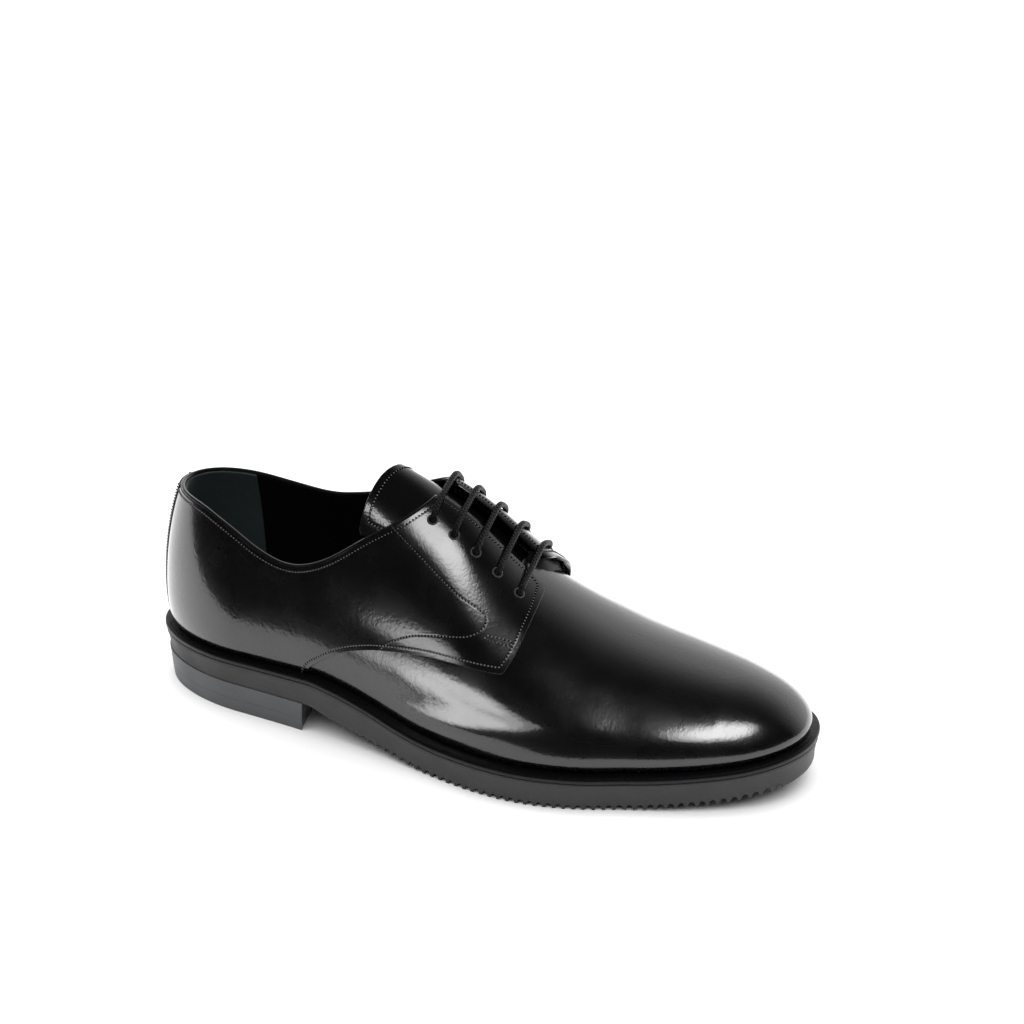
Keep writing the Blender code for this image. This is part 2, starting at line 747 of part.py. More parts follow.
def main():
    for shape in list(bpy.data.objects):
        bpy.data.objects.remove(shape, do_unlink=True)
    last = last_surface()
    tree = BVHTree.FromBMesh(last)
    leather = material("black_leather", (0.006, 0.006, 0.007), 0.16)
    lining = material("black_lining", (0.012, 0.012, 0.013), 0.6)
    edge = material("black_welt", (0.02, 0.02, 0.021), 0.5)
    rubber = material("dark_rubber", (0.045, 0.045, 0.047), 0.55)
    cord = material("black_cord", (0.01, 0.01, 0.01), 0.8)
    paint(make_outsole(), rubber)
    for piece in make_heel():
        paint(piece, rubber)
    paint(make_welt(), edge)
    paint(make_insole(), lining)
    paint(make_upper(last, tree), leather)
    paint(make_tongue(last), leather)
    for bar in make_lace_bars(tree):
        paint(bar, cord)
    last.free()


main()
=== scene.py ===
# %% [markdown]
# # A black plain-toe derby
#
# This lesson dresses the solid model of a man's lace-up shoe in its real finish. The shoe is a
# derby: its two quarters are sewn on top of the vamp and carry the eyelets. Every panel is cut from
# one smooth sheet that has the shape of the last, the form that leather is pulled over.

from collections import namedtuple
from math import cos, pi, radians, sin

import bpy
import numpy as np
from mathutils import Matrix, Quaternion, Vector
from mathutils.bvhtree import BVHTree


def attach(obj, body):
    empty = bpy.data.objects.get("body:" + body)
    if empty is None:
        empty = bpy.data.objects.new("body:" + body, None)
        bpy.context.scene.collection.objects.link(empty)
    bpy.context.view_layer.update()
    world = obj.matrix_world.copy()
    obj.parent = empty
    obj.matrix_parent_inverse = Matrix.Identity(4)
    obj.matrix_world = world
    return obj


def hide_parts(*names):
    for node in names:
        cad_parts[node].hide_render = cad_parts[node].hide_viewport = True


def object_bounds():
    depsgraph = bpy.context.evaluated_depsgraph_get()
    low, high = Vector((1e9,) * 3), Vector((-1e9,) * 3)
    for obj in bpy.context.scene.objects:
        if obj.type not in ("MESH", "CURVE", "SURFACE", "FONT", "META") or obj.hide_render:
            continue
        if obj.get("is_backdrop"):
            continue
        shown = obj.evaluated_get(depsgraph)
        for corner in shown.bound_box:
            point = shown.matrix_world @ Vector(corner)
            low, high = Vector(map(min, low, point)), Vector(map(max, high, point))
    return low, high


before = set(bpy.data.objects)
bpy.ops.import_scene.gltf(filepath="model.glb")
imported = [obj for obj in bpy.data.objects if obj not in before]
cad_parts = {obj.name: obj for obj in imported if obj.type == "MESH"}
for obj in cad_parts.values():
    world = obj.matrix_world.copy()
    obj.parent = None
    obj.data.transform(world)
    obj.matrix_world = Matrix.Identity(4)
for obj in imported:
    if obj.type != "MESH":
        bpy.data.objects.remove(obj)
size_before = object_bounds()
print("The solid model has", len(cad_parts), "pieces")

# %% [markdown]
# ## Sizes and tables of the shoe
#
# These are the sizes that the solid model is built from, so that every panel follows it exactly.
# Lengths are in metres. The toe points along +X, the outer side is -Y.

# %% Sizes of the shoe
MM = 0.001
LENGTH = 297 * MM
BALL_WIDTH = 105 * MM
HEEL_LENGTH = 82 * MM
HEEL_MIDDLE = 39.5 * MM
HEEL_HEIGHT = 13.8 * MM
TOE_SPRING = 9 * MM
INSTEP_HEIGHT = 94 * MM
SOLE_THICKNESS = 13.2 * MM
SOLE_TAPER = 0.8 * MM
RIB_STEP = 0.4 * MM
RIB_DROP = 0.3 * MM
RIB_HEIGHT = 1.9 * MM
WELT_THICKNESS = 2.4 * MM
WELT_MARGIN = 4.8 * MM
TOP_PIECE_THICKNESS = 6 * MM
HEEL_INSET = 0.9 * MM
HEEL_TAPER = 1.2 * MM
BREAST_HOLLOW = 3.5 * MM
TREAD_PITCH = 4 * MM
TREAD_LAND = 1.2 * MM
TREAD_DEPTH = 2 * MM
TREAD_START = 0.30
TREAD_FULL = 0.42
TREAD_END = 0.985
FIT_GAP = 0.3 * MM
HEEL_ROUND = 0.16
TOE_ROUND = 0.22
HEEL_ROUNDNESS = 2.0
TOE_ROUNDNESS = 2.15

# %% Sizes of the upper
UPPER_BULGE = 3.2 * MM
HEEL_FAN = 0.135
TOE_FAN = 0.882
THROAT_GAP = 11 * MM
THROAT_BACK = 0.30
THROAT_FLARE = 0.47
FLARE_LENGTH = 0.04
STRIP_TOP_WIDTH = 15 * MM
STRIP_FOOT_WIDTH = 9 * MM
STRIP_MIDDLE = 0.02
COLLAR_OUTER_SIDE = -29 * MM
COLLAR_INNER_SIDE = 22 * MM
EYELET_PAIRS = 5
EYELET_RADIUS = 1.95 * MM
LACE_DIAMETER = 2.6 * MM
FIRST_SETBACK = 10.5 * MM
LAST_SETBACK = 13.5 * MM
FIRST_EYELET = 0.459
LAST_EYELET = 0.588

# %% Heights of the leathers over the last, and rows of stitches from their edges
VAMP_INSIDE = -0.55 * MM
QUARTER_OUTSIDE = 1.1 * MM
QUARTER_INSIDE = -0.5 * MM
STRIP_OUTSIDE = 1.7 * MM
STRIP_INSIDE = 0.9 * MM
TONGUE_OUTSIDE = -1.7 * MM
TONGUE_INSIDE = -3.7 * MM
LINING_OUTSIDE = -0.6 * MM
LINING_INSIDE = -1.4 * MM
SUEDE_INSIDE = -2.0 * MM
EDGE_ROW = 2.0 * MM
COLLAR_ROW = 2.7 * MM
STRIP_ROW = 1.3 * MM
TONGUE_ROW = 2.4 * MM

# %% Plan and side profile of the sole
Plan = namedtuple("Plan", "along outer inner")
PLAN = [
    Plan(0.00, -0.250, 0.326),
    Plan(0.16, -0.313, 0.279),
    Plan(0.28, -0.376, 0.260),
    Plan(0.39, -0.450, 0.240),
    Plan(0.48, -0.526, 0.262),
    Plan(0.56, -0.590, 0.316),
    Plan(0.63, -0.612, 0.376),
    Plan(0.70, -0.588, 0.408),
    Plan(0.78, -0.521, 0.390),
    Plan(0.88, -0.467, 0.343),
    Plan(1.00, -0.456, 0.324),
]
Profile = namedtuple("Profile", "along heel_lift toe_lift body")
PROFILE = [
    Profile(0.00, 1.00, 0.00, 0.75),
    Profile(0.72, 1.00, 0.00, 0.80),
    Profile(1.01, 1.00, 0.00, 0.84),
    Profile(1.045, 0.80, 0.00, 0.995),
    Profile(1.10, 0.59, 0.00, 1.055),
    Profile(1.155, 0.40, 0.00, 1.042),
    Profile(1.21, 0.21, 0.00, 1.00),
    Profile(1.265, 0.06, 0.00, 0.98),
    Profile(1.32, 0.00, 0.00, 0.97),
    Profile(1.60, 0.00, 0.00, 0.95),
    Profile(1.695, 0.00, 0.07, 0.94),
    Profile(1.79, 0.00, 0.24, 0.92),
    Profile(1.875, 0.00, 0.46, 0.90),
    Profile(2.00, 0.00, 1.00, 0.86),
]

# %% Sections of the last, and the lines drawn on it
Last = namedtuple("Last", "along rise ridge bulge square")
LAST = [
    Last(0.00, 1.02, 0.010, 0.95, 2.0),
    Last(0.13, 1.02, -0.010, 0.90, 2.0),
    Last(0.22, 1.07, -0.035, 0.70, 2.0),
    Last(0.30, 1.08, -0.050, 0.60, 2.0),
    Last(0.38, 1.03, -0.062, 0.55, 2.0),
    Last(0.44, 0.995, -0.070, 0.55, 2.0),
    Last(0.50, 0.915, -0.076, 0.60, 2.0),
    Last(0.55, 0.790, -0.080, 0.65, 2.05),
    Last(0.60, 0.658, -0.080, 0.70, 2.1),
    Last(0.65, 0.555, -0.075, 0.75, 2.15),
    Last(0.70, 0.472, -0.068, 0.80, 2.2),
    Last(0.75, 0.405, -0.062, 0.80, 2.25),
    Last(0.80, 0.354, -0.060, 0.80, 2.3),
    Last(0.86, 0.299, -0.061, 0.80, 2.3),
    Last(0.92, 0.244, -0.063, 0.80, 2.3),
    Last(0.96, 0.203, -0.065, 0.80, 2.3),
    Last(1.00, 0.150, -0.066, 0.80, 2.3),
]
Collar = namedtuple("Collar", "along outer inner")
COLLAR = [
    Collar(-0.05, 0.690, 0.700),
    Collar(0.05, 0.690, 0.706),
    Collar(0.10, 0.684, 0.694),
    Collar(0.15, 0.626, 0.676),
    Collar(0.20, 0.552, 0.656),
    Collar(0.25, 0.521, 0.642),
    Collar(0.29, 0.552, 0.662),
    Collar(0.33, 0.640, 0.722),
    Collar(0.37, 0.752, 0.805),
    Collar(0.41, 0.855, 0.892),
    Collar(0.45, 0.965, 0.980),
    Collar(0.52, 1.160, 1.170),
]
LOWER_EDGE = [(0.272, -0.12), (0.281, 0.020), (0.310, 0.110), (0.345, 0.200), (0.387, 0.278),
              (0.425, 0.335), (0.476, 0.390), (0.530, 0.402), (0.574, 0.396), (0.594, 0.393)]
FRONT_EDGE = [(0.594, 0.393), (0.603, 0.450), (0.610, 0.520), (0.614, 0.600), (0.610, 0.650),
              (0.604, 0.700), (0.600, 0.900)]
TONGUE_EDGE = [(0.357, -0.295), (0.362, -0.250), (0.372, -0.185), (0.383, -0.110), (0.391, -0.040),
               (0.393, 0.020), (0.392, 0.085), (0.385, 0.150), (0.378, 0.190), (0.410, 0.205),
               (0.470, 0.130), (0.610, 0.040), (0.610, -0.200), (0.470, -0.275), (0.400, -0.305)]

# %% [markdown]
# ## The lines of the shoe
#
# A glossy leather shows every small step in the curvature of the surface under it. The tables are
# therefore read as a moving average over a few millimetres, which bends as evenly as a real last.

# %% Reading the tables
def smooth(table, column, along, flowing=True):
    """Read one column of a table between its rows: flowing on, or flat where the rows are."""
    knots = np.array([row.along for row in table])
    values = np.array([getattr(row, column) for row in table])
    steps = np.diff(knots)
    slopes = np.diff(values) / steps
    tangents = np.concatenate([[slopes[0]], np.zeros(len(knots) - 2), [slopes[-1]]])
    if flowing:
        tangents[1:-1] = slopes[:-1] * steps[1:] + slopes[1:] * steps[:-1]
        tangents[1:-1] /= steps[:-1] + steps[1:]
    else:
        same_way = slopes[:-1] * slopes[1:] > 0
        before = slopes[:-1][same_way]
        after = slopes[1:][same_way]
        tangents[1:-1][same_way] = 2 * before * after / (before + after)
    along = np.clip(np.asarray(along, float), knots[0], knots[-1])
    index = np.clip(np.searchsorted(knots, along) - 1, 0, len(steps) - 1)
    width = steps[index]
    t = (along - knots[index]) / width
    start = values[index] * (1 + 2 * t) * (1 - t) ** 2 + tangents[index] * width * t * (1 - t) ** 2
    end = values[index + 1] * t * t * (3 - 2 * t) - tangents[index + 1] * width * t * t * (1 - t)
    return start + end


REACH = 0.022
WEIGHTS = (1, 3, 5, 7, 8, 7, 5, 3, 1)


def even(table, column, along, flowing=True):
    """The same reading, averaged over a short stretch on both sides."""
    along = np.asarray(along, float)
    room = np.minimum(along - table[0].along, table[-1].along - along)
    reach = np.minimum(REACH, np.clip(room, 0, None))
    total = 0
    for step, weight in zip(np.linspace(-1, 1, len(WEIGHTS)), WEIGHTS):
        share = weight / sum(WEIGHTS)
        total = total + share * smooth(table, column, along + step * reach, flowing)
    return total


# %% Places and heights
def x_at(along):
    """Place along the shoe, from its share of the length."""
    return along * LENGTH - HEEL_MIDDLE


def share_at(x):
    """Share of the length at a place along the shoe."""
    return (x + HEEL_MIDDLE) / LENGTH


def stretch_at(x):
    """Place along the sole's profile: 0 to 1 over the heel, 1 to 2 from its breast to the toe."""
    return np.interp(x, [x_at(0), x_at(0) + HEEL_LENGTH, x_at(1)], [0, 1, 2])


def underside(x):
    """Height of the underside of the sole, as if it had no grooves."""
    along = stretch_at(x)
    heel = even(PROFILE, "heel_lift", along, False) * HEEL_HEIGHT
    return heel + even(PROFILE, "toe_lift", along, False) * TOE_SPRING


def sole_top(x):
    """Height of the top of the sole."""
    return underside(x) + even(PROFILE, "body", stretch_at(x), False) * SOLE_THICKNESS


def feather(x):
    """Height of the lower edge of the upper, on top of the welt."""
    return sole_top(x) + 2 * FIT_GAP + WELT_THICKNESS


def ridge_y(x):
    """Place across of the ridge of the last."""
    return even(LAST, "ridge", share_at(x)) * BALL_WIDTH


def ridge_z(x):
    """Height of the ridge of the last."""
    return feather(x) + even(LAST, "rise", share_at(x)) * INSTEP_HEIGHT


def collar_z(x, y):
    """Height of the collar line, which tilts across the foot."""
    outer = feather(x) + even(COLLAR, "outer", share_at(x)) * INSTEP_HEIGHT
    inner = feather(x) + even(COLLAR, "inner", share_at(x)) * INSTEP_HEIGHT
    across = (inner - outer) * (y - COLLAR_OUTER_SIDE)
    return outer + across / (COLLAR_INNER_SIDE - COLLAR_OUTER_SIDE)


# %% Directions and lengths
def unit(vectors):
    """The same vectors with length 1."""
    return vectors / np.linalg.norm(vectors, axis=1)[:, None]


def along_loop(loop):
    """Direction of a closed loop at each of its points."""
    return unit(np.roll(loop, -1, axis=0) - np.roll(loop, 1, axis=0))


def run_along(path):
    """Length of a path up to each of its points."""
    return np.concatenate([[0], np.cumsum(np.linalg.norm(np.diff(path, axis=0), axis=1))])


# %% Outline of the sole from above
def even_shares(count):
    """Shares of the length, closer together at the ends."""
    return (1 - np.cos(np.linspace(0, pi, count + 1))) / 2


def outline(inset, along):
    """Closed outline from above, moved inwards: outer side from heel to toe, inner side back."""
    outer_edge = even(PLAN, "outer", along) * BALL_WIDTH
    inner_edge = even(PLAN, "inner", along) * BALL_WIDTH
    back = np.clip(1 - along / HEEL_ROUND, 0, 1)
    front = np.clip(1 - (1 - along) / TOE_ROUND, 0, 1)
    rounding = (1 - back ** HEEL_ROUNDNESS) ** (1 / HEEL_ROUNDNESS)
    rounding = rounding * (1 - front ** TOE_ROUNDNESS) ** (1 / TOE_ROUNDNESS)
    middle = (outer_edge + inner_edge) / 2
    half = (inner_edge - outer_edge) / 2 * rounding
    outer = np.stack([x_at(along), middle - half], axis=1)
    inner = np.stack([x_at(along), middle + half], axis=1)
    loop = np.concatenate([outer, inner[-2:0:-1]])
    ahead = along_loop(loop)
    return loop + inset * np.stack([-ahead[:, 1], ahead[:, 0]], axis=1)


# %% [markdown]
# ## One sheet with the shape of the last
#
# The sheet rises from the welt to the ridge in rows of points. It is much finer than the solid
# model's, because it has to mirror a studio without showing its faces. A few soft dents are the
# places where the leather was pulled unevenly over the last.

# %% The sheet of the last
Sheet = namedtuple("Sheet", "points normals faces")
SIDE_STEPS = 330
RISE_STEPS = 84


def normals_of(points, faces):
    """Average direction of the faces around each point, larger faces counting for more."""
    total = np.zeros_like(points)
    for size in (3, 4):
        group = np.array([face for face in faces if len(face) == size])
        a, b, c, d = (points[group[:, k % size]] for k in (0, 1, 2, 3))
        across = np.cross(c - a, d - b) if size == 4 else np.cross(b - a, c - a)
        for k in range(size):
            np.add.at(total, group[:, k], across)
    return unit(total)


def last_rows():
    """Rows of points from the welt to the ridge, one point for each point of the outline."""
    along = even_shares(SIDE_STEPS)
    foot = outline(WELT_MARGIN, along)
    ends = outline(0, along)
    ahead = along_loop(foot)
    outwards = np.stack([ahead[:, 1], -ahead[:, 0]], axis=1)
    fan = np.clip(ends[:, 0], x_at(HEEL_FAN), x_at(TOE_FAN))
    ridge = np.stack([fan, ridge_y(fan)], axis=1)
    share = share_at(ends[:, 0])
    bulge = even(LAST, "bulge", share) * UPPER_BULGE
    power = 2 / even(LAST, "square", share)
    base = feather(foot[:, 0])
    rows = []
    for turn in np.linspace(0, 1, RISE_STEPS + 1):
        reach = np.maximum(cos(turn * pi / 2), 0) ** power
        rise = sin(turn * pi / 2) ** power
        swell = bulge * sin(pi * turn ** 0.45)
        flat = ridge + (foot - ridge) * reach[:, None] + outwards * swell[:, None]
        rows.append(np.column_stack([flat, base + (ridge_z(flat[:, 0]) - base) * rise]))
    return rows


def last_sheet():
    """The rows joined into one sheet, closed along the ridge."""
    rows = last_rows()
    count = len(rows[0])
    places = {}
    top = [places.setdefault(round(x / MM, 4), len(places)) for x in rows[-1][:, 0]]
    first = [top.index(k) for k in range(len(places))]
    points = np.concatenate(rows[:-1] + [rows[-1][first]])
    grid = [[row * count + i for i in range(count)] for row in range(RISE_STEPS)]
    grid.append([RISE_STEPS * count + k for k in top])
    faces = []
    for low, high in zip(grid[:-1], grid[1:]):
        for i in range(count):
            j = (i + 1) % count
            if high[j] == high[i]:
                faces.append((low[i], low[j], high[j]))
            else:
                faces.append((low[i], low[j], high[j], high[i]))
    return Sheet(points, normals_of(points, faces), faces)


plain = last_sheet()
if plain.normals[SIDE_STEPS // 2, 1] > 0:
    plain = Sheet(plain.points, -plain.normals, [face[::-1] for face in plain.faces])
print("The last has", len(plain.points), "points")

# %% Soft dents and ridges in the leather
Dent = namedtuple("Dent", "along height side length width turn depth")
DENTS = [
    Dent(0.545, 0.27, -1, 16, 3.0, 12, -0.16),
    Dent(0.575, 0.20, -1, 20, 3.2, 8, 0.14),
    Dent(0.620, 0.30, -1, 14, 3.0, 24, -0.12),
    Dent(0.655, 0.21, -1, 18, 3.2, 14, 0.12),
    Dent(0.500, 0.14, -1, 20, 3.4, 4, -0.05),
    Dent(0.455, 0.22, -1, 14, 3.0, 28, 0.05),
    Dent(0.700, 0.27, -1, 16, 3.6, 16, -0.09),
    Dent(0.590, 0.30, 1, 18, 4.0, 12, -0.14),
    Dent(0.640, 0.22, 1, 20, 4.0, 10, 0.12),
    Dent(0.520, 0.105, -1, 34, 6.0, -8, 1.25),
]


def dented(sheet):
    """The sheet with the listed dents: long soft waves on the side of the foot."""
    x, y, z = sheet.points.T
    side = np.sign(y - ridge_y(x))
    move = np.zeros(len(x))
    for dent in DENTS:
        right = (x - x_at(dent.along)) / MM
        up = (z - feather(x)) / MM - dent.height * INSTEP_HEIGHT / MM
        turn = radians(dent.turn)
        u = (right * cos(turn) - up * sin(turn)) / dent.length
        v = (right * sin(turn) + up * cos(turn)) / dent.width
        move += (side == dent.side) * dent.depth * MM * np.exp(-u * u - v * v)
    points = sheet.points + sheet.normals * move[:, None]
    return Sheet(points, normals_of(points, sheet.faces), sheet.faces)


last = dented(plain)

# %% The inner facing, lifted off the tongue
FACING_LIFT = 4.2 * MM
LIFT_ACROSS = (0, 8 * MM, 20 * MM, 44 * MM)
LIFT_ALONG = (0.36, 0.45, 0.62, 0.68)


def ease(value, start, end):
    """From 0 to 1 as a value goes from start to end."""
    t = np.clip((value - start) / (end - start), 0, 1)
    return t * t * (3 - 2 * t)


def hill(value, foot, top, edge, end):
    """From 0 up to 1 between foot and top, and down to 0 again between edge and end."""
    return ease(value, foot, top) * (1 - ease(value, edge, end))


def lifted(sheet, share=1.0):
    """The sheet for the quarters, whose inner facing stands off the tongue."""
    x, y, _ = sheet.points.T
    move = hill(y - ridge_y(x), *LIFT_ACROSS) * share
    move *= hill(share_at(x), *LIFT_ALONG) * FACING_LIFT
    points = sheet.points + sheet.normals * move[:, None]
    return Sheet(points, normals_of(points, sheet.faces), sheet.faces)


cover = lifted(last)
tree = BVHTree.FromPolygons([Vector(p) for p in cover.points], cover.faces)

# %% [markdown]
# ## Cutting panels out of the sheet
#
# Each panel is described by fields: numbers that say how far a point lies inside an edge. Cutting
# keeps what lies above zero and puts new points exactly on the edge, so edges stay smooth however
# the faces run. A row of stitches is the line along which a field has the stitch's distance.

# %% Cutting and tracing
def crossings(sheet, values):
    """Tools for cutting: which points are kept, and a point on each edge that the cut crosses."""
    values = np.where(np.abs(values) < 1e-7, 1e-7, values)
    inside = (values > 0).tolist()
    found = {}

    def cross(a, b):
        key = (min(a, b), max(a, b))
        if key not in found:
            found[key] = len(found)
        return found[key]

    def positions():
        pairs = np.array(list(found)).reshape(-1, 2)
        t = values[pairs[:, 0]] / (values[pairs[:, 0]] - values[pairs[:, 1]])
        t = t[:, None]
        places = sheet.points[pairs[:, 0]] * (1 - t) + sheet.points[pairs[:, 1]] * t
        normals = sheet.normals[pairs[:, 0]] * (1 - t) + sheet.normals[pairs[:, 1]] * t
        return places, unit(normals)

    return inside, cross, positions


def cut(sheet, values):
    """The part of a sheet where the values are above zero."""
    inside, cross, positions = crossings(sheet, values)
    count = len(sheet.points)
    faces = []
    for face in sheet.faces:
        kept = [inside[i] for i in face]
        if all(kept):
            faces.append(face)
        elif any(kept):
            corners = []
            for a, b in zip(face, face[1:] + face[:1]):
                if inside[a]:
                    corners.append(a)
                if inside[a] != inside[b]:
                    corners.append(count + cross(a, b))
            faces.append(tuple(corners))
    places, normals = positions()
    points = np.concatenate([sheet.points, places])
    normals = np.concatenate([sheet.normals, normals])
    used = np.zeros(len(points), bool)
    used[[i for face in faces for i in face]] = True
    number = (np.cumsum(used) - 1).tolist()
    faces = [tuple(number[i] for i in face) for face in faces]
    return Sheet(points[used], normals[used], faces)


SHORTEST_LINE = 6 * MM


def trace(sheet, values):
    """Lines on a sheet along which the values are zero, as pairs of points and normals."""
    inside, cross, positions = crossings(sheet, values)
    links = {}
    for face in sheet.faces:
        hits = [cross(a, b) for a, b in zip(face, face[1:] + face[:1]) if inside[a] != inside[b]]
        for a, b in zip(hits[::2], hits[1::2]):
            links.setdefault(a, []).append(b)
            links.setdefault(b, []).append(a)
    places, normals = positions()
    lines = []
    ends = [k for k in links if len(links[k]) == 1] + list(links)
    done = set()
    for start in ends:
        if start in done:
            continue
        line = [start]
        done.add(start)
        while True:
            onward = [k for k in links[line[-1]] if k not in done]
            if not onward:
                break
            line.append(onward[0])
            done.add(onward[0])
        if run_along(places[line])[-1] > SHORTEST_LINE:
            lines.append((places[line], normals[line]))
    return lines


# %% Distances inside edges
FAR = 1.0


def flowing_line(points, steps=8):
    """A smooth line through points."""
    points = np.array(points, float)
    padded = np.concatenate([[2 * points[0] - points[1]], points, [2 * points[-1] - points[-2]]])
    line = []
    for a, b, c, d in zip(padded[:-3], padded[1:-2], padded[2:-1], padded[3:]):
        for t in np.arange(steps) / steps:
            line.append(0.5 * (2 * b + (c - a) * t + (2 * a - 5 * b + 4 * c - d) * t ** 2
                               + (3 * b - a - 3 * c + d) * t ** 3))
    line.append(points[-1])
    return np.array(line)


def inside_of(corners, u, v):
    """How far inside a polygon each point lies, negative outside."""
    best = np.full(len(u), FAR)
    inside = np.zeros(len(u), bool)
    for (au, av), (bu, bv) in zip(corners, np.roll(corners, -1, axis=0)):
        du = bu - au
        dv = bv - av
        t = np.clip(((u - au) * du + (v - av) * dv) / (du * du + dv * dv), 0, 1)
        best = np.minimum(best, np.hypot(u - au - t * du, v - av - t * dv))
        if dv:
            inside ^= ((av > v) != (bv > v)) & (u < au + (v - av) / dv * du)
    return np.where(inside, best, -best)


def rounded(a, b, radius):
    """The smaller of two distances, with the corner between their edges rounded."""
    corner = np.hypot(np.maximum(radius - a, 0), np.maximum(radius - b, 0))
    return np.maximum(radius, np.minimum(a, b)) - corner


def side_points(line):
    """A line on the side of the upper, from shares of the length and heights above the welt."""
    return [(x_at(along), float(feather(x_at(along))) + height * INSTEP_HEIGHT)
            for along, height in line]


# %% Edges of the panels
TOP = 0.25
BOTTOM = -0.05
BACK = -0.10
lower_line = flowing_line(side_points(LOWER_EDGE))
front_line = flowing_line(side_points(FRONT_EDGE))
QUARTER_SHAPE = np.concatenate([lower_line[:-1], front_line, [
    (front_line[-1][0], TOP), (BACK, TOP), (BACK, lower_line[0][1])]])
FACING_SEAM = [(0.407, 99.3), (0.440, 92.8), (0.468, 87.3), (0.512, 78.8), (0.544, 74.2),
               (0.559, 70.8), (0.556, 67.0), (0.539, 64.3), (0.512, 63.0), (0.485, 61.8),
               (0.458, 60.0), (0.438, 57.3), (0.415, 52.8), (0.399, 47.3)]
seam_line = flowing_line([(x_at(along), height * MM) for along, height in FACING_SEAM])
FACING_SHAPE = np.concatenate([seam_line, [
    (seam_line[-1][0] - MM, BOTTOM), (BACK, BOTTOM), (BACK, TOP), (seam_line[0][0] - MM, TOP)]])
tongue_line = [(x_at(along), across * BALL_WIDTH) for along, across in TONGUE_EDGE]
TONGUE_SHAPE = flowing_line(tongue_line + tongue_line[:1])[:-1]
FACING_CORNER = 4 * MM


def in_quarter(points):
    """Distance inside the lower edge and the front edge of the quarters, seen from the side."""
    return inside_of(QUARTER_SHAPE, points[:, 0], points[:, 2])


def off_throat(points):
    """Distance from the slot between the facings."""
    x, y, _ = points.T
    widening = np.clip((THROAT_FLARE - share_at(x)) / FLARE_LENGTH, 0, 1) ** 2
    aside = np.abs(y - ridge_y(x)) - THROAT_GAP / 2 - widening * THROAT_GAP / 3
    return np.maximum(aside, x_at(THROAT_BACK) - x)


def under_collar(points):
    """Distance under the collar line."""
    x, y, z = points.T
    slope = (collar_z(x + MM, y) - collar_z(x - MM, y)) / (2 * MM)
    return (collar_z(x, y) - z) / np.sqrt(1 + slope ** 2)


def facing_edge(points):
    """Distance inside the quarter's lower, front and throat edges, with a rounded front corner."""
    return rounded(in_quarter(points), off_throat(points), FACING_CORNER)


def in_strip(points):
    """Distance inside the sides of the strip at the back of the heel."""
    x, y, z = points.T
    rise = (z - feather(x_at(0))) / INSTEP_HEIGHT
    half = (STRIP_FOOT_WIDTH + (STRIP_TOP_WIDTH - STRIP_FOOT_WIDTH) * rise) / 2
    return np.minimum(half - np.abs(y - STRIP_MIDDLE * BALL_WIDTH), x_at(0.1) - x)


def in_tongue(points):
    """Distance inside the outline of the tongue, seen from above."""
    return inside_of(TONGUE_SHAPE, points[:, 0], points[:, 1])


# %% Places of the eyelets
def on_last(x, y, offset):
    """The point over a place seen from above, at an offset from the last, and the normal there."""
    point, normal, _, _ = tree.ray_cast(Vector((x, y, 1)), Vector((0, 0, -1)))
    return np.array(point + normal * offset), np.array(normal)


eyelets = []
for share in np.linspace(0, 1, EYELET_PAIRS):
    eyelet_x = x_at(FIRST_EYELET + share * (LAST_EYELET - FIRST_EYELET))
    setback = THROAT_GAP / 2 + FIRST_SETBACK + share * (LAST_SETBACK - FIRST_SETBACK)
    middle = float(ridge_y(eyelet_x))
    eyelets.append([on_last(eyelet_x, middle + side * setback, 0) for side in (-1, 1)])


NEARBY = 15 * MM


def off_eyelets(points):
    """Distance from the edges of the eyelet holes."""
    best = np.full(len(points), FAR)
    for pair in eyelets:
        for place, axis in pair:
            away = points - place
            across = away - np.outer(away @ axis, axis)
            reach = np.linalg.norm(across, axis=1) - EYELET_RADIUS
            best = np.minimum(best, np.where(np.linalg.norm(away, axis=1) < NEARBY, reach, FAR))
    return best


# %% [markdown]
# ## Giving the panels thickness
#
# A cut sheet becomes leather when it gets an outside, an inside and a rim that rounds over. The
# normals of the last are kept on the outside, so that the shine runs on undisturbed to the very edge.

# %% Making pieces
def place_piece(name, mesh, slot):
    """An object that rides on the shoe."""
    piece = bpy.data.objects.new(name, mesh)
    bpy.context.collection.objects.link(piece)
    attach(piece, "root")
    return piece


def make_piece(name, points, faces, finish, slot, normals=None, values=None):
    """A smooth mesh of one finish that rides on the shoe."""
    mesh = bpy.data.meshes.new(name)
    mesh.from_pydata([tuple(p) for p in points], [], [tuple(face) for face in faces])
    mesh.shade_smooth()
    if normals is not None:
        mesh.normals_split_custom_set_from_vertices([tuple(n) for n in normals])
    for key, numbers in (values or {}).items():
        attribute = mesh.attributes.new(key, "FLOAT", "POINT")
        attribute.data.foreach_set("value", np.asarray(numbers, np.float32))
    mesh.materials.append(finish)
    return place_piece(name, mesh, slot)


def joined_rings(rings, count, wrap=True, closed=True):
    """Faces between rings of so many points each, where the last ring may join the first."""
    faces = []
    for k in range(rings if wrap else rings - 1):
        here = k * count
        there = (k + 1) % rings * count
        for i in range(count if closed else count - 1):
            j = (i + 1) % count
            faces.append((here + i, here + j, there + j, there + i))
    return faces


RIM_STEPS = 6


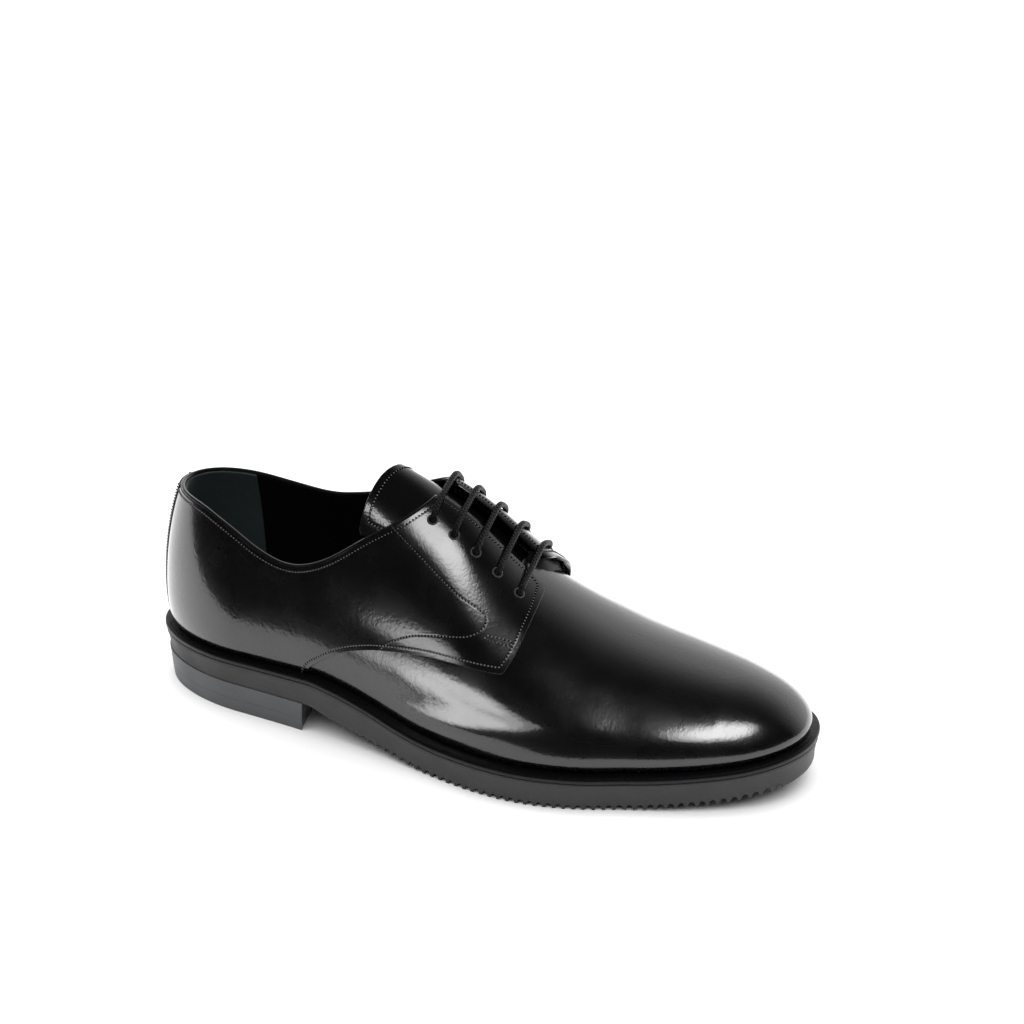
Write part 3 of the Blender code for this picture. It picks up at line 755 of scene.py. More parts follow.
def thick(name, sheet, outside, inside, rim, finish, slot, values=None):
    """A panel between two offsets from the last, with a rounded rim."""
    joined = set()
    for face in sheet.faces:
        joined.update(zip(face, face[1:] + face[:1]))
    border = [(a, b) for a, b in joined if (b, a) not in joined]
    out = np.zeros_like(sheet.points)
    for a, b in border:
        along = sheet.points[b] - sheet.points[a]
        along = along / max(np.linalg.norm(along), 1e-9)
        for end in (a, b):
            out[end] += np.cross(along, sheet.normals[end])
    edge = sorted({a for a, _ in border} | {b for _, b in border})
    out[edge] /= np.maximum(np.linalg.norm(out[edge], axis=1), 1e-9)[:, None]
    count = len(sheet.points)
    middle = (outside + inside) / 2
    half = (outside - inside) / 2
    points = [sheet.points + sheet.normals * outside, sheet.points + sheet.normals * inside]
    normals = [sheet.normals, -sheet.normals]
    number = {v: k for k, v in enumerate(edge)}
    for step in range(1, RIM_STEPS):
        angle = pi * step / RIM_STEPS
        raised = sheet.normals[edge] * (middle + half * cos(angle))
        points.append(sheet.points[edge] + raised + out[edge] * rim * sin(angle))
        normals.append(sheet.normals[edge] * cos(angle) + out[edge] * sin(angle))

    def level(step, v):
        if step == 0:
            return v
        if step == RIM_STEPS:
            return count + v
        return 2 * count + (step - 1) * len(edge) + number[v]

    faces = list(sheet.faces) + [tuple(count + v for v in face[::-1]) for face in sheet.faces]
    for a, b in border:
        for step in range(RIM_STEPS):
            faces.append((level(step, b), level(step, a), level(step + 1, a), level(step + 1, b)))
    spread = {}
    for key, numbers in (values or {}).items():
        spread[key] = np.concatenate([numbers, numbers] + [numbers[edge]] * (RIM_STEPS - 1))
    return make_piece(name, np.concatenate(points), faces, finish, slot,
                      np.concatenate(normals), spread)


# %% [markdown]
# ## Finishes
#
# The upper is smooth calf under a hard clear polish. The polish is a coat that mirrors the room
# sharply, and the leather beneath is nearly black and a little rough. Very fine bumps break up the
# edges of the mirrored lights, as grain does on a real polished shoe.

# %% Helpers for materials
def new_material(name):
    """A material and its node tree, with the shader ready."""
    made = bpy.data.materials.new(name)
    made.use_nodes = True
    return made, made.node_tree, made.node_tree.nodes["Principled BSDF"]


def node(tree_, kind, settings=None, inputs=None):
    """Add a node, set its properties and the values of its inputs."""
    made = tree_.nodes.new(kind)
    for key, value in (settings or {}).items():
        setattr(made, key, value)
    for key, value in (inputs or {}).items():
        made.inputs[key].default_value = value
    return made


def noise(tree_, scale, detail=2.0, stretch=(1, 1, 1), roughness=0.5):
    """Noise in the piece's own coordinates, in waves per millimetre."""
    place = node(tree_, "ShaderNodeTexCoord")
    sized = node(tree_, "ShaderNodeMapping", inputs={"Scale": tuple(1000 * scale * s for s in stretch)})
    pattern = node(tree_, "ShaderNodeTexNoise",
                   inputs={"Scale": 1.0, "Detail": detail, "Roughness": roughness})
    tree_.links.new(place.outputs["Object"], sized.inputs["Vector"])
    tree_.links.new(sized.outputs["Vector"], pattern.inputs["Vector"])
    return pattern.outputs["Fac"]


def remap(tree_, value, low, high, new_low, new_high):
    """Carry a range of values over to another, evenly and held at its ends."""
    made = node(tree_, "ShaderNodeMapRange", settings={"interpolation_type": "SMOOTHSTEP"},
                inputs={"From Min": low, "From Max": high, "To Min": new_low, "To Max": new_high})
    tree_.links.new(value, made.inputs["Value"])
    return made.outputs["Result"]


def math(tree_, operation, a, b=0.0):
    """One arithmetic step on sockets or numbers."""
    made = node(tree_, "ShaderNodeMath", settings={"operation": operation})
    for socket, value in zip(made.inputs, (a, b)):
        if isinstance(value, (int, float)):
            socket.default_value = value
        else:
            tree_.links.new(value, socket)
    return made.outputs["Value"]


def bump(tree_, height, distance, below=None):
    """Relief from a height between 0 and 1, over another relief."""
    made = node(tree_, "ShaderNodeBump", inputs={"Distance": distance * MM, "Strength": 1.0})
    tree_.links.new(height, made.inputs["Height"])
    if below is not None:
        tree_.links.new(below, made.inputs["Normal"])
    return made.outputs["Normal"]


# %% Polished leather
def stitch_groove(tree_, key, distance, width):
    """A soft groove along a row of stitches, 0 in the row and 1 away from it."""
    made = node(tree_, "ShaderNodeAttribute", settings={"attribute_name": key})
    away = math(tree_, "ABSOLUTE", math(tree_, "SUBTRACT", made.outputs["Fac"], distance))
    return remap(tree_, away, 0.0, width, 0.0, 1.0)


def polished_leather(name, rows=(), rippled=False):
    """Black leather under a glossy coat, with grooves along its rows of stitches."""
    made, tree_, shader = new_material(name)
    shader.inputs["Base Color"].default_value = (0.0020, 0.0020, 0.0023, 1)
    shader.inputs["Coat Weight"].default_value = 1.0
    shader.inputs["Coat IOR"].default_value = 1.5
    shader.inputs["Coat Roughness"].default_value = 0.09
    shader.inputs["Specular IOR Level"].default_value = 0.3
    blotches = noise(tree_, 0.06, 3.0)
    tree_.links.new(remap(tree_, blotches, 0.3, 0.7, 0.20, 0.30), shader.inputs["Roughness"])
    waves = bump(tree_, noise(tree_, 0.04, 0.0, (0.6, 1, 1.5)), 0.12)
    grain = bump(tree_, noise(tree_, 0.45, 2.0), 0.035, below=waves)
    relief = bump(tree_, noise(tree_, 1.2, 2.0, (1, 1, 0.6)), 0.030, below=grain)
    if rippled:
        place = node(tree_, "ShaderNodeAttribute", settings={"attribute_name": "ripple"})
        streaks = noise(tree_, 0.55, 2.0, (1, 0.3, 0.16))
        raised = math(tree_, "MULTIPLY", streaks, place.outputs["Fac"])
        relief = bump(tree_, raised, 0.07, below=relief)
    for key, distance, width in rows:
        relief = bump(tree_, stitch_groove(tree_, key, distance, width), 0.025, below=relief)
    tree_.links.new(relief, shader.inputs["Normal"])
    tree_.links.new(relief, shader.inputs["Coat Normal"])
    return made


vamp_leather = polished_leather("vamp_leather", rippled=True)
quarter_leather = polished_leather("quarter_leather", [
    ("edge", 2.0 * MM, 0.8 * MM), ("collar", 2.7 * MM, 0.7 * MM), ("facing", 0.0, 0.8 * MM)], True)
strip_leather = polished_leather("strip_leather", [("edge", 1.3 * MM, 0.7 * MM)])
tongue_leather = polished_leather("tongue_leather", [("edge", 2.4 * MM, 0.7 * MM)])


# %% Linings, rubber, thread and cord
def plain_finish(name, colour, roughness, grain_scale, grain_depth, coat=0.0, sheen=0.0, mirror=0.5):
    """A finish of one colour with a fine relief and slightly uneven gloss."""
    made, tree_, shader = new_material(name)
    shader.inputs["Base Color"].default_value = (*colour, 1)
    shader.inputs["Specular IOR Level"].default_value = mirror
    shader.inputs["Coat Weight"].default_value = coat
    shader.inputs["Sheen Weight"].default_value = sheen
    shader.inputs["Sheen Roughness"].default_value = 0.4
    patches = noise(tree_, 0.08, 3.0)
    low = roughness * 0.88
    tree_.links.new(remap(tree_, patches, 0.3, 0.7, low, min(roughness * 1.12, 1.0)),
                    shader.inputs["Roughness"])
    relief = bump(tree_, noise(tree_, grain_scale, 3.0), grain_depth)
    tree_.links.new(relief, shader.inputs["Normal"])
    return made


suede = plain_finish("suede_lining", (0.024, 0.034, 0.035), 0.85, 1.6, 0.10, sheen=0.15)
smooth_lining = plain_finish("smooth_lining", (0.0025, 0.0025, 0.003), 0.45, 0.8, 0.03, mirror=0.3)
binding_leather = plain_finish("binding_leather", (0.004, 0.004, 0.0045), 0.24, 0.6, 0.02, coat=1.0)
sole_rubber = plain_finish("sole_rubber", (0.040, 0.039, 0.039), 0.50, 1.2, 0.03, mirror=0.25)
heel_rubber = plain_finish("heel_rubber", (0.066, 0.070, 0.074), 0.46, 1.2, 0.03)
# The thread is black: its grey colour is a painted highlight, standing in for the gloss on the raised
# threads.
thread = plain_finish("thread", (0.13, 0.13, 0.137), 0.34, 3.0, 0.02, coat=0.6)
# Matte black for the stitch holes: painted shade of the recess where the thread goes into the leather.
painted_hole_shade = plain_finish("painted_hole_shade", (0.001, 0.001, 0.001), 0.9, 1.0, 0.01, mirror=0.1)
eyelet_paint = plain_finish("eyelet_paint", (0.030, 0.030, 0.032), 0.22, 1.0, 0.005, coat=1.0)

# %% [markdown]
# ## The panels of the upper
#
# Vamp, quarters and strip overlap as they do on the real shoe: the quarters lie on the vamp and
# reach further down, and the strip covers their seam at the back. Linings follow on the inside.

# %% Vamp
UNDERLAP = 8 * MM
vamp_sheet = cut(last, UNDERLAP - in_quarter(last.points))


def rippling(points):
    """Where the leather is finely rippled: low on the outer side, behind the ball of the foot."""
    x, y, z = points.T
    near = ((x - 112 * MM) / (34 * MM)) ** 2 + ((z - 42 * MM) / (13 * MM)) ** 2
    return np.exp(-near) * (y < ridge_y(x))


vamp = thick("vamp", vamp_sheet, 0, VAMP_INSIDE, 0.3 * MM, vamp_leather, "upper_leather",
             {"ripple": rippling(vamp_sheet.points)})
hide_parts("upper")
print("Vamp:", len(vamp_sheet.faces), "faces")

# %% Quarters
TOPLINE_FOLD = 1.3 * MM
quarter_base = cut(cover, facing_edge(cover.points))


def quarter_limit(points):
    """Distance inside all edges of the quarters."""
    return rounded(facing_edge(points), under_collar(points) - TOPLINE_FOLD, 3 * MM)


quarter_whole = cut(quarter_base, quarter_limit(quarter_base.points))
quarter_sheet = cut(quarter_whole, off_eyelets(quarter_whole.points))


def facing_field(points):
    """Distance across the curved seam of the facing."""
    return inside_of(FACING_SHAPE, points[:, 0], points[:, 2])


quarter_fields = {
    "edge": facing_edge(quarter_sheet.points),
    "collar": under_collar(quarter_sheet.points),
    "facing": facing_field(quarter_sheet.points),
    "ripple": rippling(quarter_sheet.points),
}
quarters = thick("quarters", quarter_sheet, QUARTER_OUTSIDE, QUARTER_INSIDE, 0.35 * MM,
                 quarter_leather, "upper_leather", quarter_fields)
print("Quarters:", len(quarter_sheet.faces), "faces")

# %% Back strip
strip_sheet = cut(cover, in_strip(cover.points))
strip_sheet = cut(strip_sheet, under_collar(strip_sheet.points) - TOPLINE_FOLD)
thick("back_strip", strip_sheet, STRIP_OUTSIDE, STRIP_INSIDE, 0.3 * MM, strip_leather,
      "upper_leather", {"edge": in_strip(strip_sheet.points)})

# %% Linings
SUEDE_END = -2 * MM


def in_lining(points):
    """Distance inside the lining: under the collar, and off the throat as far as the vamp."""
    throat = np.maximum(off_throat(points) - 0.6 * MM, points[:, 0] - x_at(0.60) + 6 * MM)
    return np.minimum(throat, under_collar(points) - 1.2 * MM)


lining_cover = lifted(last, ease(in_quarter(last.points), 0, 6 * MM))
lining_sheet = cut(lining_cover, in_lining(lining_cover.points))
front_lining = cut(lining_sheet, lining_sheet.points[:, 0] - SUEDE_END + 4 * MM)
front_lining = cut(front_lining, off_eyelets(front_lining.points))
back_lining = cut(lining_sheet, SUEDE_END - lining_sheet.points[:, 0])
thick("front_lining", front_lining, LINING_OUTSIDE, LINING_INSIDE, 0.1 * MM, smooth_lining,
      "lining_leather")
thick("heel_lining", back_lining, LINING_OUTSIDE, SUEDE_INSIDE, 0.3 * MM, suede, "lining_leather")

# %% Tongue
TONGUE_FOOT = 0.25
tongue_sheet = cut(last, in_tongue(last.points))
tongue_foot = feather(tongue_sheet.points[:, 0]) + TONGUE_FOOT * INSTEP_HEIGHT
tongue_sheet = cut(tongue_sheet, tongue_sheet.points[:, 2] - tongue_foot)
tongue = thick("tongue_leather", tongue_sheet, TONGUE_OUTSIDE, TONGUE_INSIDE, 0.7 * MM,
               tongue_leather, "tongue_leather", {"edge": in_tongue(tongue_sheet.points)})
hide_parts("tongue")

# %% [markdown]
# ## Sweeping edges, cords and rings
#
# The topline is finished with a folded strip, the welt is a strip bent round the shoe, and the lace
# is a round cord. All of them are one profile carried along a line.

# %% Sweeping a profile along a line
def sweep(name, path, up, profile, finish, slot):
    """Carry a closed profile of (side, up) points along a path; side is the path's left."""
    ahead = unit(np.gradient(path, axis=0))
    up = unit(up - ahead * np.sum(up * ahead, axis=1)[:, None])
    side = np.cross(up, ahead)
    count = len(path)
    rings = len(profile)
    points = np.concatenate([path + side * a + up * b for a, b in profile])
    faces = joined_rings(rings, count, closed=False)
    faces.append(tuple(k * count for k in range(rings)))
    faces.append(tuple(k * count + count - 1 for k in range(rings))[::-1])
    return make_piece(name, points, faces, finish, slot)


def evenly(path, step, extra=None):
    """Points at equal distances along a path, and the same for the vectors that go with it."""
    lengths = run_along(path)
    marks = np.linspace(0, lengths[-1], max(int(lengths[-1] / step), 2) + 1)
    columns = [np.interp(marks, lengths, path[:, k]) for k in range(3)]
    if extra is None:
        return np.stack(columns, axis=1)
    more = [np.interp(marks, lengths, extra[:, k]) for k in range(3)]
    return np.stack(columns, axis=1), np.stack(more, axis=1)


def round_profile(half_side, half_up, middle_side=0.0, middle_up=0.0, steps=14):
    """An oval profile."""
    angles = np.linspace(0, 2 * pi, steps, endpoint=False)
    return [(middle_side + half_side * cos(a), middle_up + half_up * sin(a)) for a in angles]


# %% Topline binding
collar_lines = trace(quarter_base, under_collar(quarter_base.points))
collar_path, collar_normals = max(collar_lines, key=lambda line: len(line[0]))
collar_path, collar_normals = evenly(collar_path, 1.2 * MM, collar_normals)
if np.cross(collar_normals[50], collar_path[51] - collar_path[50])[2] > 0:
    collar_path = collar_path[::-1]
    collar_normals = collar_normals[::-1]
binding_profile = round_profile(0.85 * MM, 1.0 * MM, 0.65 * MM, -0.25 * MM, 18)
sweep("topline_binding", collar_path, collar_normals, binding_profile, binding_leather,
      "upper_leather")
print("Topline:", round(len(collar_path) * 1.2), "mm")

# %% Eyelet rims
RING_STEPS = 28
RING_SIDES = 10


def ring(place, axis, radius, thickness):
    """Points and faces of a small ring."""
    turn = Vector((0, 0, 1)).rotation_difference(Vector(axis)).to_matrix()
    points = []
    for i in range(RING_STEPS):
        a = 2 * pi * i / RING_STEPS
        for k in range(RING_SIDES):
            b = 2 * pi * k / RING_SIDES
            reach = radius + thickness * cos(b)
            spot = Vector((reach * cos(a), reach * sin(a), 0.8 * thickness * sin(b)))
            points.append(tuple(Vector(place) + turn @ spot))
    faces = [(p, s, r, q) for p, q, r, s in joined_rings(RING_STEPS, RING_SIDES)]
    return points, faces


ring_points = []
ring_faces = []
for pair in eyelets:
    for place, axis in pair:
        points, faces = ring(place + axis * 1.15 * MM, axis, EYELET_RADIUS, 0.45 * MM)
        ring_faces += [tuple(i + len(ring_points) for i in face) for face in faces]
        ring_points += points
make_piece("eyelet_rims", ring_points, ring_faces, eyelet_paint, "upper_leather")

# %% [markdown]
# ## The lace
#
# One cord runs through all ten eyelets. It shows five straight bars, and between them it runs hidden
# under the facings, from one eyelet to the next but one. Its ends stop under the top eyelets.

# %% Route of the lace
# Stops: pair and side of each eyelet in the order that the lace passes them, going up or down
ROUTE = [(0, 0, "up"), (0, 1, "down"), (2, 1, "up"), (2, 0, "down"), (4, 0, "up"), (4, 1, "down"),
         (3, 1, "up"), (3, 0, "down"), (1, 0, "up"), (1, 1, "down")]
BAR_HEIGHT = QUARTER_OUTSIDE + 0.25 * MM + LACE_DIAMETER / 2
HIDDEN_DEPTH = 2.2 * MM


def between(a, b, share, offset):
    """A point over the straight line between two places, at an offset from the last."""
    x = a[0] + (b[0] - a[0]) * share
    y = a[1] + (b[1] - a[1]) * share
    return on_last(x, y, offset)[0]


def taut(points):
    """The points that a cord pulled tight over them would touch, seen across its plane."""
    kept = []
    for point in points:
        while len(kept) > 1:
            a, b = kept[-2], kept[-1]
            run_b = np.linalg.norm(b[:2] - a[:2])
            run_c = np.linalg.norm(point[:2] - a[:2])
            if (b[2] - a[2]) * run_c > (point[2] - a[2]) * run_b:
                break
            kept.pop()
        kept.append(point)
    return kept


lace_points = []
for (pair, side, way), (next_pair, next_side, _) in zip(ROUTE, ROUTE[1:] + ROUTE[:1]):
    place, axis = eyelets[pair][side]
    goal, _ = eyelets[next_pair][next_side]
    steps = [place - axis * HIDDEN_DEPTH, place - axis * 0.4 * MM, place + axis * 1.5 * MM]
    if way == "down":
        steps = steps[::-1]
    lace_points += steps
    if way == "up":
        bar = [between(place, goal, share, BAR_HEIGHT) for share in np.linspace(0.05, 0.95, 19)]
        lace_points += list(evenly(np.array(taut(bar)), 3 * MM))
    elif (next_pair, next_side) != ROUTE[0][:2]:
        lace_points += [between(place, goal, share, -HIDDEN_DEPTH)
                        for share in np.linspace(0.1, 0.9, 7)]
CORD_STEP = 0.7
lace_path = evenly(flowing_line(lace_points, 4), CORD_STEP * MM)
print("Lace:", round(run_along(lace_path)[-1] / MM), "mm from end to end")


# %% Round braided cord
CORD_SIDES = 16


def tube(name, path, radius, finish, slot):
    """A round cord whose first UV runs round it and second along it, in millimetres."""
    up = Vector((0, 0, 1))
    points = []
    for place, forward in zip(path, unit(np.gradient(path, axis=0))):
        forward = Vector(forward)
        up = (up - forward * up.dot(forward)).normalized()
        side = up.cross(forward)
        for k in range(CORD_SIDES):
            a = 2 * pi * k / CORD_SIDES
            points.append(place + radius * np.array(side * cos(a) + up * sin(a)))
    faces = joined_rings(len(path), CORD_SIDES, wrap=False)
    walls = len(faces)
    faces.append(tuple(range(CORD_SIDES))[::-1])
    faces.append(tuple(range(walls, walls + CORD_SIDES)))
    piece = make_piece(name, points, faces, finish, slot)
    coordinates = piece.data.uv_layers.new(name="braid")
    for number, polygon in enumerate(piece.data.polygons[:walls]):
        row, k = divmod(number, CORD_SIDES)
        corners = ((k, row), (k + 1, row), (k + 1, row + 1), (k, row + 1))
        for index, (across, along) in zip(polygon.loop_indices, corners):
            coordinates.data[index].uv = (across / CORD_SIDES, along * CORD_STEP)
    return piece


def braid_finish():
    """Black cord: two families of strands that cross, made as relief."""
    made, tree_, shader = new_material("braided_cord")
    shader.inputs["Base Color"].default_value = (0.0045, 0.0045, 0.005, 1)
    shader.inputs["Roughness"].default_value = 0.46
    shader.inputs["Specular IOR Level"].default_value = 0.35
    split = node(tree_, "ShaderNodeSeparateXYZ")
    place = node(tree_, "ShaderNodeUVMap", settings={"uv_map": "braid"})
    tree_.links.new(place.outputs["UV"], split.inputs["Vector"])
    turns = math(tree_, "MULTIPLY", split.outputs["X"], 2 * pi * 4)
    run = math(tree_, "MULTIPLY", split.outputs["Y"], 2 * pi * 0.55)
    one = math(tree_, "SINE", math(tree_, "ADD", run, turns))
    two = math(tree_, "SINE", math(tree_, "SUBTRACT", run, turns))
    strands = math(tree_, "MAXIMUM", one, two)
    height = remap(tree_, strands, -0.6, 1.0, 0.0, 1.0)
    relief = bump(tree_, height, 0.5)
    tree_.links.new(relief, shader.inputs["Normal"])
    return made


cord_finish = braid_finish()
lace = tube("lace", lace_path, LACE_DIAMETER / 2, cord_finish, "lace_cord")
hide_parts(*["lace_bar_%d" % number for number in range(1, 6)])

# %% [markdown]
# ## Stitches
#
# A row of lockstitches is a line of short threads, each a little sunk at both ends. Geometry nodes
# put one small capsule at each step of a traced line, turned along it and standing off the leather.
# Between the capsules, small matte black ovals on the leather are painted shade of the stitch holes.

# %% Stitch tool
def stitch_group():
    """Geometry nodes: a short thread at every step along the lines of a mesh."""
    group = bpy.data.node_groups.new("stitch_rows", "GeometryNodeTree")
    face = group.interface
    face.new_socket("Geometry", in_out="INPUT", socket_type="NodeSocketGeometry")
    face.new_socket("Pitch", in_out="INPUT", socket_type="NodeSocketFloat")
    face.new_socket("Thread Radius", in_out="INPUT", socket_type="NodeSocketFloat")
    face.new_socket("Thread Length", in_out="INPUT", socket_type="NodeSocketFloat")
    face.new_socket("Thread", in_out="INPUT", socket_type="NodeSocketMaterial")
    face.new_socket("Geometry", in_out="OUTPUT", socket_type="NodeSocketGeometry")
    made = {}
    for key, kind in (("given", "NodeGroupInput"), ("result", "NodeGroupOutput"),
                      ("lines", "GeometryNodeMeshToCurve"), ("even", "GeometryNodeResampleCurve"),
                      ("capsule", "GeometryNodeMeshUVSphere"), ("sized", "GeometryNodeTransform"),
                      ("scale", "ShaderNodeCombineXYZ"), ("placed", "GeometryNodeInstanceOnPoints"),
                      ("turn", "FunctionNodeAxesToRotation"), ("ahead", "GeometryNodeInputTangent"),
                      ("facing", "GeometryNodeInputNamedAttribute"),
                      ("real", "GeometryNodeRealizeInstances"), ("coat", "GeometryNodeSetMaterial"),
                      ("soft", "GeometryNodeSetShadeSmooth")):
        made[key] = group.nodes.new(kind)
    made["even"].mode = "LENGTH"
    made["turn"].primary_axis = "X"
    made["turn"].secondary_axis = "Z"
    made["facing"].data_type = "FLOAT_VECTOR"
    made["facing"].inputs["Name"].default_value = "facing"
    made["capsule"].inputs["Segments"].default_value = 8
    made["capsule"].inputs["Rings"].default_value = 6
    made["capsule"].inputs["Radius"].default_value = 1.0
    link = group.links.new
    link(made["given"].outputs["Geometry"], made["lines"].inputs["Mesh"])
    link(made["lines"].outputs["Curve"], made["even"].inputs["Curve"])
    link(made["given"].outputs["Pitch"], made["even"].inputs["Length"])
    link(made["given"].outputs["Thread Length"], made["scale"].inputs["X"])
    link(made["given"].outputs["Thread Radius"], made["scale"].inputs["Y"])
    link(made["given"].outputs["Thread Radius"], made["scale"].inputs["Z"])
    link(made["capsule"].outputs["Mesh"], made["sized"].inputs["Geometry"])
    link(made["scale"].outputs["Vector"], made["sized"].inputs["Scale"])
    link(made["ahead"].outputs["Tangent"], made["turn"].inputs["Primary Axis"])
    link(made["facing"].outputs["Attribute"], made["turn"].inputs["Secondary Axis"])
    link(made["even"].outputs["Curve"], made["placed"].inputs["Points"])
    link(made["sized"].outputs["Geometry"], made["placed"].inputs["Instance"])
    link(made["turn"].outputs["Rotation"], made["placed"].inputs["Rotation"])
    link(made["placed"].outputs["Instances"], made["real"].inputs["Geometry"])
    link(made["real"].outputs["Geometry"], made["soft"].inputs["Geometry"])
    link(made["soft"].outputs["Geometry"], made["coat"].inputs["Geometry"])
    link(made["given"].outputs["Thread"], made["coat"].inputs["Material"])
    link(made["coat"].outputs["Geometry"], made["result"].inputs["Geometry"])
    return group


stitch_nodes = stitch_group()


def sew(name, lines, height, pitch, radius, length, finish, slot):
    """Stitches along lines of points and normals, at a height over the last."""
    points = []
    edges = []
    facings = []
    for line, normals in lines:
        first = len(points)
        for point, normal in zip(line, normals):
            points.append(tuple(point + normal * height))
            facings.append(tuple(normal))
        edges += [(k, k + 1) for k in range(first, len(points) - 1)]
    mesh = bpy.data.meshes.new(name + "_line")
    mesh.from_pydata(points, edges, [])
    attribute = mesh.attributes.new("facing", "FLOAT_VECTOR", "POINT")
    attribute.data.foreach_set("vector", np.array(facings, np.float32).ravel())
    guide = bpy.data.objects.new(name + "_line", mesh)
    bpy.context.collection.objects.link(guide)
    modifier = guide.modifiers.new("stitches", "NODES")
    modifier.node_group = stitch_nodes
    inputs = {item.name: item.identifier for item in stitch_nodes.interface.items_tree
              if item.in_out == "INPUT"}
    modifier[inputs["Pitch"]] = pitch
    modifier[inputs["Thread Radius"]] = radius
    modifier[inputs["Thread Length"]] = length / 2
    modifier[inputs["Thread"]] = finish
    bpy.context.view_layer.update()
    ready = guide.evaluated_get(bpy.context.evaluated_depsgraph_get())
    made = bpy.data.meshes.new_from_object(ready)
    made.name = name
    bpy.data.objects.remove(guide, do_unlink=True)
    place_piece(name, made, slot)
    print(name + ":", len(made.polygons), "faces")


# %% Rows of stitches
rows = trace(quarter_whole, facing_edge(quarter_whole.points) - EDGE_ROW)
rows += trace(quarter_whole, under_collar(quarter_whole.points) - COLLAR_ROW)
rows += trace(quarter_whole, facing_field(quarter_whole.points))
TACK = ((128.4 * MM, 64.6 * MM), (137.8 * MM, 62.6 * MM))


def off_tack(points):
    """Distance from the short double row that holds the front end of the facing."""
    (au, av), (bu, bv) = TACK
    u = points[:, 0] - au
    v = points[:, 2] - av
    t = np.clip((u * (bu - au) + v * (bv - av)) / ((bu - au) ** 2 + (bv - av) ** 2), 0, 1)
    return np.hypot(u - t * (bu - au), v - t * (bv - av))


TACK_HALF = 0.75 * MM
rows += trace(quarter_whole, off_tack(quarter_whole.points) - TACK_HALF)
strip_rows = trace(strip_sheet, in_strip(strip_sheet.points) - STRIP_ROW)
tongue_rows = trace(tongue_sheet, in_tongue(tongue_sheet.points) - TONGUE_ROW)
PITCH = 1.5 * MM
THREAD_RISE = 0.06 * MM
THREAD = (0.32 * MM, 1.10 * MM)
# Size of the matte black ovals that are painted shade in the stitch holes.
HOLE_SHADE = (0.46 * MM, 0.85 * MM)


def half_step_on(lines):
    """The same lines, starting half a stitch further on: the places between the stitches, where the stitch
    holes get painted shade.
    """
    moved = []
    for points, normals in lines:
        run = run_along(points)
        start = np.searchsorted(run, PITCH / 2)
        first = [np.interp(PITCH / 2, run, points[:, k]) for k in range(3)]
        moved.append((np.vstack([first, points[start:]]), normals[max(start - 1, 0):]))
    return moved


# Threads on the leather, and between them matte black ovals as painted shade of the stitch holes.
for key, lines, level, part in (("quarter", rows, QUARTER_OUTSIDE, "upper_leather"),
                                ("strip", strip_rows, STRIP_OUTSIDE, "upper_leather"),
                                ("tongue", tongue_rows, TONGUE_OUTSIDE, "tongue_leather")):
    sew(key + "_stitches", lines, level + THREAD_RISE, PITCH, *THREAD, thread, part)
    sew(key + "_painted_hole_shade", half_step_on(lines), level, PITCH, *HOLE_SHADE, painted_hole_shade, part)

# %% [markdown]
# ## Welt, sole and heel
#
# The welt is a thin leather strip with a rough wheeled edge. The sole is moulded rubber with a rib
# under its top edge and round grooves across its ground face. The heel is a block with a top piece.

# %% Welt
def welt_finish():
    """Satin black leather whose edge is pressed into small marks by a wheel."""
    made, tree_, shader = new_material("wheeled_welt")
    shader.inputs["Base Color"].default_value = (0.0025, 0.0025, 0.003, 1)
    shader.inputs["Specular IOR Level"].default_value = 0.3
    tree_.links.new(remap(tree_, noise(tree_, 0.5, 3.0), 0.3, 0.7, 0.30, 0.42), shader.inputs["Roughness"])
    marks = node(tree_, "ShaderNodeAttribute", settings={"attribute_name": "along"})
    wave = math(tree_, "SINE", math(tree_, "MULTIPLY", marks.outputs["Fac"], 2 * pi / 1.15))
    relief = bump(tree_, remap(tree_, wave, -1.0, 1.0, 0.0, 1.0), 0.04)
    relief = bump(tree_, noise(tree_, 1.1, 3.0), 0.04, below=relief)
    tree_.links.new(relief, shader.inputs["Normal"])
    return made


WELT_PROFILE = [(0.1, 0.0), (-0.35, 0.1), (-0.5, 0.5), (-0.5, 1.5), (-0.35, 2.0), (0.1, 2.3),
                (0.8, 2.35), (1.4, 2.15), (2.0, 2.2), (6.0, 2.4), (12.0, 2.4), (12.0, 0.0)]
OUTLINE_STEPS = 300
fine = even_shares(OUTLINE_STEPS)
welt_foot = sole_top(outline(0, fine)[:, 0]) + FIT_GAP
welt_loops = [np.column_stack([outline(inset * MM, fine), welt_foot + rise * MM])
              for inset, rise in WELT_PROFILE]
around = run_along(welt_loops[3]) / MM
welt = make_piece("welt_strip", np.concatenate(welt_loops), joined_rings(len(welt_loops), len(around)),
                  welt_finish(), "welt_leather", values={"along": np.tile(around, len(welt_loops))})
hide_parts("welt")


# %% Outsole
def tread_stations():
    """Places along the sole and the depth of the grooves there."""
    start = x_at(TREAD_START)
    grooves = int((x_at(TREAD_END) - start) / TREAD_PITCH)
    hollow = TREAD_PITCH - TREAD_LAND
    ends = x_at(even_shares(240))
    places = [(x, 0.0) for x in ends if x < start - MM]
    for number in range(grooves):
        edge = start + number * TREAD_PITCH
        fade = np.clip((share_at(edge) - TREAD_START) / (TREAD_FULL - TREAD_START), 0.15, 1)
        places.append((edge, 0.0))
        for step in range(9):
            angle = pi * step / 8
            x = edge + TREAD_LAND + hollow * (1 - cos(angle)) / 2
            places.append((x, TREAD_DEPTH * fade * sin(angle)))
    last_x = places[-1][0]
    places += [(x, 0.0) for x in ends if x > last_x + 0.1 * MM]
    return np.array(places)


stations = tread_stations()
station_shares = share_at(stations[:, 0])
depths = np.concatenate([stations[:, 1], stations[-2:0:-1, 1]])


